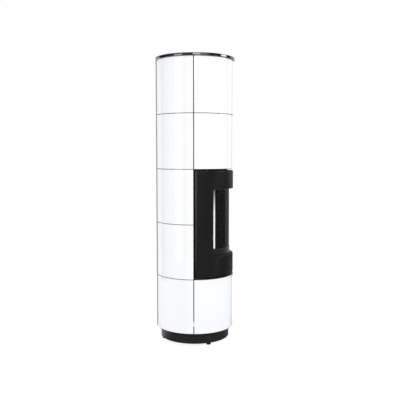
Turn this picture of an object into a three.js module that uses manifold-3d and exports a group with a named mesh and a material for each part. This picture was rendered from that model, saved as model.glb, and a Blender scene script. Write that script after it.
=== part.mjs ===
// Round tiled stove: white glazed tiles on a steel body, curved black door with a deep window.
// Millimetres, +Z up. The origin is on the stove's axis at floor level.
// Angles are degrees round the axis, from the front (-Y) towards +X.

import * as THREE from "three";
import { mergeVertices } from "three/addons/utils/BufferGeometryUtils.js";
import Module from "manifold-3d";

// ---------------------------------------------------------------- driving dimensions

const ARC_STEP = 9;              // facets stand at whole multiples of this angle
const FIT = 0.3;                 // gap between two pieces that touch
const OVERRUN = 1;               // cutters run this far past a face
const ROUND_SIDES = 24;          // sides of pipes, the grate and its seat

// Cladding
const TILE_RADIUS = 265;         // outer face of the tiles
const TILE_WALL = 25;
const COURSE_HEIGHT = 361.5;     // tile and joint
const COURSES = 5;
const COLUMN_ANGLE = 72;         // each column is a fifth of the circle
const BED_JOINT = 2.5;           // horizontal joint
const UPRIGHT_JOINT = 4.5;       // vertical joint
const RING_SHEET = 1.8;          // carrier rings in the bed joints
const RING_LEDGE = 16;           // the rings reach this far under the tiles
const RING_SETBACK = 12;         // left free beside the door for its hinge edge and keeper

const SPACER_HEIGHT = 30;        // white spacer in the front-left joint
const SPACER_RISE = 49;          // above the tile's lower edge
const SPACER_DEPTH = 14;

const BACK_SHEET = 2;
const BACK_FLANGE = 24;

const TOP_OVERHANG = 8;
const TOP_THICKNESS = 19.5;

// Plinth and feet
const FOOT_PAD_RADIUS = 15;
const FOOT_PAD_HEIGHT = 13.7;
const FOOT_CHAMFER = 1.5;
const FOOT_STEM_RADIUS = 6;
const FOOT_STEM_LENGTH = 56;
const FOOT_INSET = 18.5;         // foot centres, in from the plinth's face
const FRONT_FOOT_ANGLE = 45.5;
const REAR_FOOT_ANGLE = 146;
const BOSS_RADIUS = 14;
const BOSS_HEIGHT = 34;
const BOSS_WEB = 16;             // width of the plate that joins each boss to the plinth's wall
const STEM_CLEARANCE = 0.3;

const PLINTH_SETBACK = 30;       // behind the tiles' face
const PLINTH_WALL = 4;
const PLINTH_HEIGHT = 67.7;
const BASE_SETBACK = 7;          // behind the tiles' face
const BASE_THICKNESS = 7.7;

// Steel body
const AIR_JACKET = 18;           // between the tiles and the steel body
const BODY_WALL = 4;
const FLOOR_SHEET = 6;
const BODY_TOP_SHEET = 5.3;
const BODY_RISE = 0.5;           // the firebox starts this far above the door's lower edge

// Air supply
const AIR_SPIGOT_RADIUS = 50;
const AIR_SPIGOT_WALL = 2;
const AIR_SPIGOT_RISE = 110;     // centre above the tiles' lower edge
const AIR_SPIGOT_INSIDE = 150;   // where the pipe ends inside the drum
const VALVE_PLATE = 6;
const VALVE_RADIUS = 70;
const VALVE_DISC = 3;
const PORT_INNER = 24;
const PORT_OUTER = 60;
const PORT_ANGLE = 60;
const VALVE_STUD_RADIUS = 5;
const VALVE_STUD_HEIGHT = 10;
const LEVER_WIDTH = 20;
const LEVER_THICKNESS = 4;
const LEVER_PROUD = 8;           // beyond the door's face
const LEVER_TAB_WIDTH = 34;
const LEVER_TAB_LENGTH = 26;
const SPACER_RING_WIDTH = 22;
const SPACER_RING_MOUTH = 27;    // half angle left open for the lever

// Firebox
const SIDE_EDGE = 63;            // half angle of the body's front opening
const FRAME_PROUD = 4;           // the front frame stands this far out of the body
const MOUTH_EDGE = 47;           // half angle of the front frame's opening
const MOUTH_BOTTOM = 100;        // above the firebox floor
const MOUTH_TOP = 62;            // below the firebox top
const BRICK_WALL = 30;
const BRICK_GAP = 0.1;           // between bricks
const BRICK_CLEARANCE = 0.5;     // to the steel
const BRICK_TOP = 104;           // below the firebox top
const BACK_BRICK_EDGE = 27;      // half angle of the rear brick
const BAFFLE_THICKNESS = 25;
const BAFFLE_GAP = 97.5;         // the gases pass in front of the baffle, which is cut this far back
const HEARTH_HEIGHT = 130;       // hearth surface above the firebox floor's underside
const HEARTH_THICKNESS = 30;
const GRATE_RADIUS = 58;
const GRATE_THICKNESS = 12;
const GRATE_LEDGE = 8;
const GRATE_CLEARANCE = 1.4;
const GRATE_RECESS = 4;          // below the hearth's surface
const GRATE_RIM = 10;
const GRATE_BARS = 5;
const GRATE_SLOT = 9;
const SHAFT_WIDTH = 160;
const SHAFT_WALL = 3;
const ASH_BOX_WIDTH = 146;
const ASH_BOX_HEIGHT = 72;
const ASH_BOX_WALL = 2;
const PRIMARY_HOLE_RADIUS = 40;

// Flue and heat store
const FLUE_RADIUS = 75;
const FLUE_WALL = 3;
const FLUE_RISE = 200.5;         // centre of the rear outlet above the door's courses
const FLUE_CLEARANCE = 1;        // round the pipes in the back panel
const SMOKE_BOX_RADIUS = 110;
const SMOKE_BOX_HEIGHT = 306;
const COLLAR_SETBACK = 12;       // the pipe ends stop this far inside the panel's face
const STONE_SIDE_GAP = 8;        // to the drum
const STONES = 2;
const STONE_CLEARANCE = 21;      // under the top plate

// Door
const DOOR_SETBACK = 1;          // behind the tiles' face
const DOOR_BEHIND = 1.7;         // its back stands this far behind the tiles' inner face
const DOOR_SIDE_GAP = 8;       // from the middle of the upright joint to the door's edge
const DOOR_SKIN = 5;
const DOOR_LINER = 3;
const DOOR_GAP_BELOW = 8;
const DOOR_GAP_ABOVE = 11;
const WINDOW_EDGE = 42.8;        // half angle of the recess at the door's face
const WINDOW_JAMB = 3.8;         // angle that each side of the recess slopes in by
const WINDOW_BOTTOM = 133;       // recess at the face, above the door's lower edge
const WINDOW_TOP = 122;          // recess at the face, below the door's upper edge
const SILL_RISE = 14;            // the shell's sill, which leaves a band of the liner in sight
const LINER_SILL_RISE = 50;      // the liner's sill, where the glass starts
const HEAD_DROP = 4;

const GLASS_THICKNESS = 4;
const GLASS_LAP_ANGLE = 6;       // beyond the inner window edge, on each side
const GLASS_LAP = 17;            // beyond the inner window edge, above and below
const RETAINER_SHEET = 3.4;
const RETAINER_LAP_ANGLE = 2.5;  // beyond the glass, on each side
const RETAINER_BAND_ANGLE = 5;
const RETAINER_LAP = 8;          // beyond the glass
const RETAINER_BAND = 22;

const SEAL_EDGE = 54;            // half angle
const SEAL_BAND_ANGLE = 2.5;
const SEAL_BAND = 10;
const SEAL_MARGIN = 36;          // in from the door's lower and upper edges

const HINGE_INSET = 23.3;        // from the door's edge to the pins, along the door
const HINGE_DEPTH = 12;          // from the door's face to the pins
const HINGE_PIN_RADIUS = 5;
const HINGE_PIN_LENGTH = 30;
const HINGE_BORE_SPARE = 2;      // the bores are this much deeper than the pins
const HINGE_BORE_CLEARANCE = 0.2;
const HINGE_PLATE = 4;
const HINGE_PLATE_SIDE = 26.4;   // the bracket's plate on each side of the pin
const HINGE_PLATE_SETBACK = 2;   // behind the door's face
const HINGE_BLOCK = 17.6;        // solid inside the door, beyond the pin

const HANDLE_INSET = 24.1;       // from the door's edge to the spindle, along the door's back
const SPINDLE_RADIUS = 6.8;
const SPINDLE_CLEARANCE = 0.3;
const SPINDLE_BOSS_RADIUS = 14;
const LEVER_BAR = 14;
const HANDLE_STANDOFF = 18;
const HANDLE_DROP = 145;
const HANDLE_HEEL = 15;
const TONGUE_SETBACK = 5;        // behind the door's inner face
const TONGUE_LENGTH = 30;
const TONGUE_WIDTH = 12;
const TONGUE_THICKNESS = 4.5;
const KEEPER_SHEET = 2;
const KEEPER_HEIGHT = 30;
const KEEPER_LIP_START = 18;
const KEEPER_FOOT_START = 20;
const KEEPER_CLEARANCE = 1.5;    // between the tongue and the lip
const KEEPER_WEB = 34.5;
const KEEPER_BEDDING = 0.7;      // its flat foot starts off the middle, where the round wall falls back

// ---------------------------------------------------------------- places that follow from them

const FLOOR_OF_PLINTH = FOOT_PAD_HEIGHT + FIT;
const PLINTH_TOP = FLOOR_OF_PLINTH + PLINTH_HEIGHT;
const BASE_BOTTOM = PLINTH_TOP + FIT;
const BASE_TOP = BASE_BOTTOM + BASE_THICKNESS;
const TILES_BOTTOM = BASE_TOP + FIT;
const TILES_TOP = TILES_BOTTOM + COURSES * COURSE_HEIGHT;
const TOP_BOTTOM = TILES_TOP + FIT;
const joint = (course) => TILES_BOTTOM + course * COURSE_HEIGHT;

const TILE_INNER = TILE_RADIUS - TILE_WALL;
const BODY_RADIUS = TILE_INNER - AIR_JACKET;
const BODY_INNER = BODY_RADIUS - BODY_WALL;
const RING_INNER = BODY_RADIUS + FIT;
const PLINTH_RADIUS = TILE_RADIUS - PLINTH_SETBACK;
const FOOT_CIRCLE = PLINTH_RADIUS - FOOT_INSET;
const BASE_RADIUS = TILE_RADIUS - BASE_SETBACK;
const FRAME_OUTER = BODY_RADIUS + FRAME_PROUD;

// The angle of a short length along a circle.
const angleOf = (length, radius) => THREE.MathUtils.radToDeg(length / radius);
const JOINT_EDGE = angleOf(UPRIGHT_JOINT / 2, TILE_RADIUS);

const DOOR_OUTER = TILE_RADIUS - DOOR_SETBACK;
const DOOR_INNER = TILE_INNER - DOOR_BEHIND;
const DOOR_EDGE = COLUMN_ANGLE - angleOf(DOOR_SIDE_GAP, DOOR_OUTER);
const DOOR_BOTTOM = joint(1) + DOOR_GAP_BELOW;
const DOOR_TOP = joint(3) - DOOR_GAP_ABOVE;
const HINGE_RADIUS = DOOR_OUTER - HINGE_DEPTH;
const HINGE_ANGLE = angleOf(HINGE_INSET, HINGE_RADIUS) - DOOR_EDGE;
const HANDLE_ANGLE = DOOR_EDGE - angleOf(HANDLE_INSET, DOOR_INNER);
const WINDOW_INNER_EDGE = WINDOW_EDGE - WINDOW_JAMB;
const GLASS_EDGE = WINDOW_INNER_EDGE + GLASS_LAP_ANGLE;
const RETAINER_EDGE = GLASS_EDGE + RETAINER_LAP_ANGLE;
const LEVER_REACH = DOOR_OUTER + LEVER_PROUD;

const FIREBOX_BOTTOM = DOOR_BOTTOM + BODY_RISE;
const FIREBOX_TOP = joint(3) - RING_SHEET / 2 - FIT;
const FIREBOX_FLOOR = FIREBOX_BOTTOM + FLOOR_SHEET;
const FIREBOX_CEILING = FIREBOX_TOP - BODY_TOP_SHEET;

const SPACER_RING_TOP = FIREBOX_BOTTOM - FIT;
const VALVE_PLATE_TOP = joint(1) - BED_JOINT / 2 - FIT;
const VALVE_PLATE_BOTTOM = VALVE_PLATE_TOP - VALVE_PLATE;
const LEVER_BOTTOM = VALVE_PLATE_TOP + FIT + VALVE_DISC;

const HEARTH_TOP = FIREBOX_BOTTOM + HEARTH_HEIGHT;
const HEARTH_BOTTOM = HEARTH_TOP - HEARTH_THICKNESS;
const GRATE_SEAT = HEARTH_TOP - GRATE_RECESS - GRATE_THICKNESS;
const BRICK_OUTER = BODY_INNER - BRICK_CLEARANCE;
const BRICK_INNER = BRICK_OUTER - BRICK_WALL;
const BRICKS_TOP = FIREBOX_CEILING - BRICK_TOP;

const AIR_SPIGOT_HEIGHT = TILES_BOTTOM + AIR_SPIGOT_RISE;
const FLUE_HEIGHT = joint(3) + FLUE_RISE;
const STORE_BOTTOM = joint(3) + RING_SHEET / 2 + FIT;
const SMOKE_TOP = STORE_BOTTOM + SMOKE_BOX_HEIGHT;
const STONE_HEIGHT = (TILES_TOP - STONE_CLEARANCE - SMOKE_TOP) / STONES - FIT;
const COLLAR_END = TILE_RADIUS - COLLAR_SETBACK;

const GLASS_OUTER = DOOR_INNER - FIT;
const GLASS_INNER = GLASS_OUTER - GLASS_THICKNESS;
const GLASS_BOTTOM = DOOR_BOTTOM + WINDOW_BOTTOM + LINER_SILL_RISE - GLASS_LAP;
const GLASS_TOP = DOOR_TOP - WINDOW_TOP - HEAD_DROP + GLASS_LAP;
const DOOR_MIDDLE = (DOOR_BOTTOM + DOOR_TOP) / 2;

// ---------------------------------------------------------------- colours and finishes

const finish = (color, roughness, metalness) => () =>
  new THREE.MeshStandardMaterial({ color, roughness, metalness });

const whiteGlaze = finish(0xeef0f3, 0.08, 0);
const blackPaint = finish(0x1b1c1e, 0.45, 0.2);
const blackGloss = finish(0x17181a, 0.08, 0.1);
const charcoal = finish(0x2a2b2d, 0.5, 0.2);
const greySheet = finish(0xa9adb1, 0.4, 0.7);
const plainSteel = finish(0x6f7376, 0.5, 0.8);
const castIron = finish(0x35373a, 0.7, 0.6);
const brick = finish(0xcdb48a, 0.95, 0);
const stone = finish(0x8c8a84, 0.9, 0);
const ceramicGlass = finish(0x2b2724, 0.05, 0);
const sealRope = finish(0x3a3a3b, 1, 0);

// ---------------------------------------------------------------- geometry helpers

const wasm = await Module();
wasm.setup();

function toSolid(geometry) {
  const bare = geometry.clone();
  bare.deleteAttribute("normal");
  bare.deleteAttribute("uv");
  const merged = mergeVertices(bare, 1e-4);
  return new wasm.Manifold(new wasm.Mesh({
    numProp: 3,
    vertProperties: new Float32Array(merged.attributes.position.array),
    triVerts: new Uint32Array(merged.index.array),
  }));
}

function toGeometry(solid) {
  const mesh = solid.getMesh();
  const geometry = new THREE.BufferGeometry();
  geometry.setAttribute("position", new THREE.BufferAttribute(mesh.vertProperties, 3));
  geometry.setIndex(new THREE.BufferAttribute(mesh.triVerts, 1));
  return geometry;
}

function join(...geometries) {
  return toGeometry(geometries.map(toSolid).reduce((sum, solid) => sum.add(solid)));
}

function cut(geometry, ...tools) {
  return toGeometry(tools.map(toSolid).reduce((rest, tool) => rest.subtract(tool), toSolid(geometry)));
}

// A point round the axis: angle 0 is the front, positive towards +X.
function around(radius, angle) {
  const a = THREE.MathUtils.degToRad(angle);
  return new THREE.Vector2(radius * Math.sin(a), -radius * Math.cos(a));
}

// Points along an arc, at both ends and at every whole step between, so that
// arcs of neighbouring pieces have their facets at the same angles.
function arc(radius, from, to) {
  const low = Math.min(from, to);
  const high = Math.max(from, to);
  const angles = [low];
  for (let a = Math.ceil((low + 1e-6) / ARC_STEP) * ARC_STEP; a < high - 1e-6; a += ARC_STEP) {
    angles.push(a);
  }
  angles.push(high);
  const points = angles.map((a) => around(radius, a));
  return from <= to ? points : points.reverse();
}

function raise(shape, bottom, top) {
  const geometry = new THREE.ExtrudeGeometry(shape, { depth: top - bottom, bevelEnabled: false });
  return geometry.translate(0, 0, bottom);
}

function sector(inner, outer, from, to, bottom, top) {
  const shape = new THREE.Shape([...arc(outer, from, to), ...arc(inner, to, from)]);
  return raise(shape, bottom, top);
}

const fullCircle = (radius) => arc(radius, 0, 360).slice(0, -1);

function disc(radius, bottom, top) {
  return raise(new THREE.Shape(fullCircle(radius)), bottom, top);
}

function ring(inner, outer, bottom, top) {
  const shape = new THREE.Shape(fullCircle(outer));
  shape.holes.push(new THREE.Path(fullCircle(inner).reverse()));
  return raise(shape, bottom, top);
}

function box(low, high) {
  const size = high.map((value, axis) => value - low[axis]);
  const centre = high.map((value, axis) => (value + low[axis]) / 2);
  return new THREE.BoxGeometry(...size).translate(...centre);
}

function rod(radius, bottom, top, sides = 16) {
  const geometry = new THREE.CylinderGeometry(radius, radius, top - bottom, sides);
  return geometry.rotateX(Math.PI / 2).translate(0, 0, (bottom + top) / 2);
}

// A round bar along +Y at a height above the floor.
function rearRod(radius, from, to, height, sides = ROUND_SIDES) {
  const geometry = new THREE.CylinderGeometry(radius, radius, to - from, sides);
  return geometry.translate(0, (from + to) / 2, height);
}

// A pipe along +Y at a height above the floor.
function rearPipe(radius, wall, from, to, height) {
  return cut(rearRod(radius, from, to, height), rearRod(radius - wall, from - OVERRUN, to + OVERRUN, height));
}

// Turns a shape that was built at the front so that it stands at an angle round the axis.
const swing = (geometry, angle) => geometry.rotateZ(THREE.MathUtils.degToRad(angle));

// A tapered block between two curved faces: the window recess.
function recess(face, back) {
  const steps = 10;
  const positions = [];
  for (let i = 0; i <= steps; i += 1) {
    for (const side of [face, back]) {
      const p = around(side.radius, side.edge * ((2 * i) / steps - 1));
      positions.push(p.x, p.y, side.bottom, p.x, p.y, side.top);
    }
  }
  const faceBottom = 0;
  const faceTop = 1;
  const backBottom = 2;
  const backTop = 3;
  const index = [];
  const quad = (a, b, c, d) => index.push(a, b, c, a, c, d);
  for (let i = 0; i < steps; i += 1) {
    const here = (corner) => 4 * i + corner;
    const next = (corner) => 4 * (i + 1) + corner;
    quad(here(faceBottom), next(faceBottom), next(faceTop), here(faceTop));
    quad(next(backBottom), here(backBottom), here(backTop), next(backTop));
    quad(here(faceTop), next(faceTop), next(backTop), here(backTop));
    quad(here(backBottom), next(backBottom), next(faceBottom), here(faceBottom));
  }
  quad(backBottom, faceBottom, faceTop, backTop);
  const last = 4 * steps;
  quad(last + faceBottom, last + backBottom, last + backTop, last + faceTop);
  const geometry = new THREE.BufferGeometry();
  geometry.setAttribute("position", new THREE.Float32BufferAttribute(positions, 3));
  geometry.setIndex(index);
  return geometry;
}

// ---------------------------------------------------------------- the assembly

const stove = new THREE.Group();

function add(name, geometry, material) {
  const mesh = new THREE.Mesh(geometry, material());
  mesh.name = name;
  stove.add(mesh);
  return mesh;
}

// ---------------------------------------------------------------- plinth and feet

const footPlaces = {
  front_left: -FRONT_FOOT_ANGLE,
  front_right: FRONT_FOOT_ANGLE,
  rear_left: -REAR_FOOT_ANGLE,
  rear_right: REAR_FOOT_ANGLE,
};

function levellingFoot() {
  const stemTop = FOOT_PAD_HEIGHT + FOOT_STEM_LENGTH;
  const profile = [
    new THREE.Vector2(0, 0),
    new THREE.Vector2(FOOT_PAD_RADIUS - FOOT_CHAMFER, 0),
    new THREE.Vector2(FOOT_PAD_RADIUS, FOOT_CHAMFER),
    new THREE.Vector2(FOOT_PAD_RADIUS, FOOT_PAD_HEIGHT - FOOT_CHAMFER),
    new THREE.Vector2(FOOT_PAD_RADIUS - FOOT_CHAMFER, FOOT_PAD_HEIGHT),
    new THREE.Vector2(FOOT_STEM_RADIUS, FOOT_PAD_HEIGHT),
    new THREE.Vector2(FOOT_STEM_RADIUS, stemTop),
    new THREE.Vector2(0, stemTop),
  ];
  return new THREE.LatheGeometry(profile, 16).rotateX(Math.PI / 2);
}

for (const [place, angle] of Object.entries(footPlaces)) {
  const foot = add(`levelling_foot_${place}`, levellingFoot(), charcoal);
  const centre = around(FOOT_CIRCLE, angle);
  foot.position.set(centre.x, centre.y, 0);
}

// A drum open at both ends, with a boss for each foot webbed to its inside.
function plinth() {
  const drum = ring(PLINTH_RADIUS - PLINTH_WALL, PLINTH_RADIUS, FLOOR_OF_PLINTH, PLINTH_TOP);
  const bosses = [];
  const bores = [];
  const boreTop = FLOOR_OF_PLINTH + BOSS_HEIGHT;
  for (const angle of Object.values(footPlaces)) {
    const centre = around(FOOT_CIRCLE, angle);
    const boss = rod(BOSS_RADIUS, FLOOR_OF_PLINTH, boreTop).translate(centre.x, centre.y, 0);
    const web = swing(box([-BOSS_WEB / 2, -PLINTH_RADIUS + PLINTH_WALL / 2, FLOOR_OF_PLINTH],
      [BOSS_WEB / 2, -FOOT_CIRCLE, boreTop]), angle);
    const bore = rod(FOOT_STEM_RADIUS + STEM_CLEARANCE, FLOOR_OF_PLINTH - OVERRUN, boreTop + OVERRUN);
    bosses.push(boss, web);
    bores.push(bore.translate(centre.x, centre.y, 0));
  }
  return cut(join(drum, ...bosses), ...bores);
}

add("plinth", plinth(), charcoal);
add("base_plate", disc(BASE_RADIUS, BASE_BOTTOM, BASE_TOP), plainSteel);

// ---------------------------------------------------------------- tiles

// Columns by the angle of their first edge. The front columns leave courses 2 and 3 to the door.
const columns = {
  front_left: { from: -COLUMN_ANGLE, courses: [1, 4, 5] },
  front_right: { from: 0, courses: [1, 4, 5] },
  left: { from: -2 * COLUMN_ANGLE, courses: [1, 2, 3, 4, 5] },
  right: { from: COLUMN_ANGLE, courses: [1, 2, 3, 4, 5] },
};

function tile(from, course) {
  const bottom = course === 1 ? TILES_BOTTOM : joint(course - 1) + BED_JOINT / 2;
  const top = course === COURSES ? TILES_TOP : joint(course) - BED_JOINT / 2;
  return sector(TILE_INNER, TILE_RADIUS, from + JOINT_EDGE, from + COLUMN_ANGLE - JOINT_EDGE, bottom, top);
}

for (const [column, { from, courses }] of Object.entries(columns)) {
  for (const course of courses) {
    add(`tile_${column}_${course}`, tile(from, course), whiteGlaze);
  }
}

const spacerHalf = JOINT_EDGE - angleOf(2 * FIT, TILE_RADIUS);
const spacerBottom = TILES_BOTTOM + SPACER_RISE;
const jointSpacer = sector(TILE_RADIUS - SPACER_DEPTH, TILE_RADIUS - FIT, -spacerHalf, spacerHalf,
  spacerBottom, spacerBottom + SPACER_HEIGHT);
add("joint_spacer", swing(jointSpacer, -COLUMN_ANGLE), whiteGlaze);

// Carrier rings stand in the bed joints. They are narrower behind the back panel, whose flanges
// they stop at, and the second one is open where the door is.
const BACK_FROM = 2 * COLUMN_ANGLE;
const BACK_TO = 3 * COLUMN_ANGLE;
const ringOuter = TILE_INNER + RING_LEDGE;
const ringBack = TILE_RADIUS - BACK_FLANGE - FIT;

function carrierRing(course) {
  const bottom = joint(course) - RING_SHEET / 2;
  const top = joint(course) + RING_SHEET / 2;
  const behindDoor = course === 2;
  const from = behindDoor ? COLUMN_ANGLE + angleOf(RING_SETBACK, TILE_INNER) : 0;
  const outline = [
    ...arc(ringOuter, from, BACK_FROM),
    ...arc(ringBack, BACK_FROM, BACK_TO),
    ...arc(ringOuter, BACK_TO, 360 - from),
  ];
  if (behindDoor) {
    return raise(new THREE.Shape([...outline, ...arc(RING_INNER, 360 - from, from)]), bottom, top);
  }
  const shape = new THREE.Shape(outline.slice(0, -1));
  shape.holes.push(new THREE.Path(fullCircle(RING_INNER).reverse()));
  return raise(shape, bottom, top);
}

for (let course = 1; course < COURSES; course += 1) {
  add(`carrier_ring_${course}`, carrierRing(course), plainSteel);
}

// ---------------------------------------------------------------- back panel and top plate

function backPanel() {
  const from = BACK_FROM + JOINT_EDGE;
  const to = BACK_TO - JOINT_EDGE;
  const sheet = angleOf(BACK_SHEET, TILE_RADIUS);
  const flangeEnd = TILE_RADIUS - BACK_FLANGE;
  const shape = new THREE.Shape([
    ...arc(TILE_RADIUS, from, to),
    around(flangeEnd, to),
    around(flangeEnd, to - sheet),
    ...arc(TILE_RADIUS - BACK_SHEET, to - sheet, from + sheet),
    around(flangeEnd, from + sheet),
    around(flangeEnd, from),
  ]);
  return cut(
    raise(shape, TILES_BOTTOM, TILES_TOP),
    rearRod(FLUE_RADIUS + FLUE_CLEARANCE, BODY_RADIUS, TILE_RADIUS + OVERRUN, FLUE_HEIGHT),
    rearRod(AIR_SPIGOT_RADIUS + FLUE_CLEARANCE, BODY_RADIUS, TILE_RADIUS + OVERRUN, AIR_SPIGOT_HEIGHT),
  );
}

add("back_panel", backPanel(), greySheet);
add("top_plate", disc(TILE_RADIUS + TOP_OVERHANG, TOP_BOTTOM, TOP_BOTTOM + TOP_THICKNESS), blackGloss);

// ---------------------------------------------------------------- air supply

const lowerDrum = ring(BODY_INNER, BODY_RADIUS, TILES_BOTTOM, VALVE_PLATE_BOTTOM - FIT);
const spigotHole = rearRod(AIR_SPIGOT_RADIUS + FIT, AIR_SPIGOT_INSIDE, TILE_RADIUS, AIR_SPIGOT_HEIGHT);
add("lower_drum", cut(lowerDrum, spigotHole), plainSteel);
add("air_spigot",
  rearPipe(AIR_SPIGOT_RADIUS, AIR_SPIGOT_WALL, AIR_SPIGOT_INSIDE, COLLAR_END, AIR_SPIGOT_HEIGHT), plainSteel);

// Two ports on opposite sides; the valve's own ports stand over them when it is open.
function ports(bottom, top) {
  return [0, 180].map((turn) =>
    sector(PORT_INNER, PORT_OUTER, turn + 90 - PORT_ANGLE / 2, turn + 90 + PORT_ANGLE / 2, bottom, top));
}

function valvePlate() {
  const plate = disc(BODY_RADIUS, VALVE_PLATE_BOTTOM, VALVE_PLATE_TOP);
  const stud = rod(VALVE_STUD_RADIUS, VALVE_PLATE_BOTTOM + OVERRUN, VALVE_PLATE_TOP + VALVE_STUD_HEIGHT);
  return cut(join(plate, stud), ...ports(VALVE_PLATE_BOTTOM - OVERRUN, VALVE_PLATE_TOP + OVERRUN));
}

function airValve() {
  const discBottom = VALVE_PLATE_TOP + FIT;
  const leverTop = LEVER_BOTTOM + LEVER_THICKNESS;
  const valve = disc(VALVE_RADIUS, discBottom, discBottom + VALVE_DISC);
  const lever = box([-LEVER_WIDTH / 2, -LEVER_REACH + LEVER_TAB_LENGTH / 2, discBottom + VALVE_DISC / 2],
    [LEVER_WIDTH / 2, LEVER_WIDTH / 2, leverTop]);
  const liftedLever = cut(lever, box([-LEVER_WIDTH, -LEVER_REACH, discBottom],
    [LEVER_WIDTH, LEVER_THICKNESS - VALVE_RADIUS, LEVER_BOTTOM]));
  const tab = box([-LEVER_TAB_WIDTH / 2, -LEVER_REACH, LEVER_BOTTOM],
    [LEVER_TAB_WIDTH / 2, -LEVER_REACH + LEVER_TAB_LENGTH, leverTop]);
  const bore = rod(VALVE_STUD_RADIUS + FIT, discBottom - OVERRUN, leverTop + OVERRUN);
  return cut(join(valve, liftedLever, tab), bore, ...ports(discBottom - OVERRUN, leverTop + OVERRUN));
}

add("valve_plate", valvePlate(), castIron);
add("air_valve", airValve(), plainSteel);
add("spacer_ring", sector(BODY_RADIUS - SPACER_RING_WIDTH, BODY_RADIUS, SPACER_RING_MOUTH,
  360 - SPACER_RING_MOUTH, VALVE_PLATE_TOP + FIT, SPACER_RING_TOP), plainSteel);

// ---------------------------------------------------------------- firebox

function fireboxBody() {
  const wall = sector(BODY_INNER, BODY_RADIUS, SIDE_EDGE, 360 - SIDE_EDGE, FIREBOX_BOTTOM,
    FIREBOX_CEILING - FIT);
  const floor = disc(BODY_RADIUS, FIREBOX_BOTTOM, FIREBOX_FLOOR);
  const airHole = rod(PRIMARY_HOLE_RADIUS, FIREBOX_BOTTOM - OVERRUN, FIREBOX_FLOOR + OVERRUN, ROUND_SIDES);
  return cut(join(wall, floor), airHole);
}

function fireboxCeiling() {
  const flueHole = rod(FLUE_RADIUS - FLUE_WALL, FIREBOX_CEILING - OVERRUN, FIREBOX_TOP + OVERRUN, ROUND_SIDES);
  return cut(disc(BODY_RADIUS, FIREBOX_CEILING, FIREBOX_TOP), flueHole);
}

function frontFrame() {
  const edge = SIDE_EDGE - angleOf(FIT, BODY_RADIUS);
  const plate = sector(BODY_INNER, FRAME_OUTER, -edge, edge, FIREBOX_FLOOR + FIT, FIREBOX_CEILING - FIT);
  const mouth = sector(BODY_INNER - OVERRUN, FRAME_OUTER + OVERRUN, -MOUTH_EDGE, MOUTH_EDGE,
    FIREBOX_FLOOR + MOUTH_BOTTOM, FIREBOX_CEILING - MOUTH_TOP);
  return cut(plate, mouth);
}

add("firebox_body", fireboxBody(), castIron);
add("firebox_ceiling", fireboxCeiling(), castIron);
add("front_frame", frontFrame(), castIron);

const brickPlaces = {
  right: [SIDE_EDGE + ARC_STEP, 180 - BACK_BRICK_EDGE],
  back: [180 - BACK_BRICK_EDGE, 180 + BACK_BRICK_EDGE],
  left: [180 + BACK_BRICK_EDGE, 360 - SIDE_EDGE - ARC_STEP],
};
for (const [side, [from, to]] of Object.entries(brickPlaces)) {
  add(`fire_brick_${side}`, sector(BRICK_INNER, BRICK_OUTER, from + BRICK_GAP / 2, to - BRICK_GAP / 2,
    FIREBOX_FLOOR + FIT, BRICKS_TOP), brick);
}

function baffle() {
  const bottom = BRICKS_TOP + FIT;
  const plate = disc(BRICK_OUTER, bottom, bottom + BAFFLE_THICKNESS);
  const front = box([-BODY_RADIUS, -BODY_RADIUS, bottom - OVERRUN],
    [BODY_RADIUS, BAFFLE_GAP - BRICK_OUTER, bottom + BAFFLE_THICKNESS + OVERRUN]);
  return cut(plate, front);
}

function hearthStone() {
  const slab = disc(BRICK_INNER - BRICK_CLEARANCE, HEARTH_BOTTOM, HEARTH_TOP);
  const seat = rod(GRATE_RADIUS + GRATE_CLEARANCE, GRATE_SEAT, HEARTH_TOP + OVERRUN, ROUND_SIDES);
  const throat = rod(GRATE_RADIUS - GRATE_LEDGE, HEARTH_BOTTOM - OVERRUN, HEARTH_TOP, ROUND_SIDES);
  return cut(slab, seat, throat);
}

function grate() {
  const bottom = GRATE_SEAT + FIT;
  const plate = rod(GRATE_RADIUS, bottom, bottom + GRATE_THICKNESS, ROUND_SIDES);
  const pitch = 2 * GRATE_SLOT;
  const slots = [];
  for (let i = 0; i < GRATE_BARS; i += 1) {
    const x = (i - (GRATE_BARS - 1) / 2) * pitch;
    const half = Math.sqrt((GRATE_RADIUS - GRATE_RIM) ** 2 - (Math.abs(x) + GRATE_SLOT / 2) ** 2);
    slots.push(box([x - GRATE_SLOT / 2, -half, bottom - OVERRUN],
      [x + GRATE_SLOT / 2, half, bottom + GRATE_THICKNESS + OVERRUN]));
  }
  return cut(plate, ...slots);
}

function squareTube(width, wall, bottom, top, openFrom = bottom - OVERRUN) {
  const half = width / 2;
  const inside = half - wall;
  return cut(box([-half, -half, bottom], [half, half, top]),
    box([-inside, -inside, openFrom], [inside, inside, top + OVERRUN]));
}

const shaftBottom = FIREBOX_FLOOR + FIT;
const ashBottom = shaftBottom;
add("baffle", baffle(), brick);
add("hearth_stone", hearthStone(), brick);
add("grate", grate(), castIron);
add("ash_shaft", squareTube(SHAFT_WIDTH, SHAFT_WALL, shaftBottom, HEARTH_BOTTOM - FIT), plainSteel);
add("ash_box", squareTube(ASH_BOX_WIDTH, ASH_BOX_WALL, ashBottom, ashBottom + ASH_BOX_HEIGHT,
  ashBottom + ASH_BOX_WALL), plainSteel);

// ---------------------------------------------------------------- flue and heat store

// The store's drum stands inside the third carrier ring, on the firebox.
const drumBottom = FIREBOX_TOP + FIT;
const flueHole = rearRod(FLUE_RADIUS + FIT, SMOKE_BOX_RADIUS, TILE_RADIUS, FLUE_HEIGHT);
add("upper_drum", cut(ring(BODY_INNER, BODY_RADIUS, drumBottom, TILES_TOP), flueHole), plainSteel);

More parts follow.
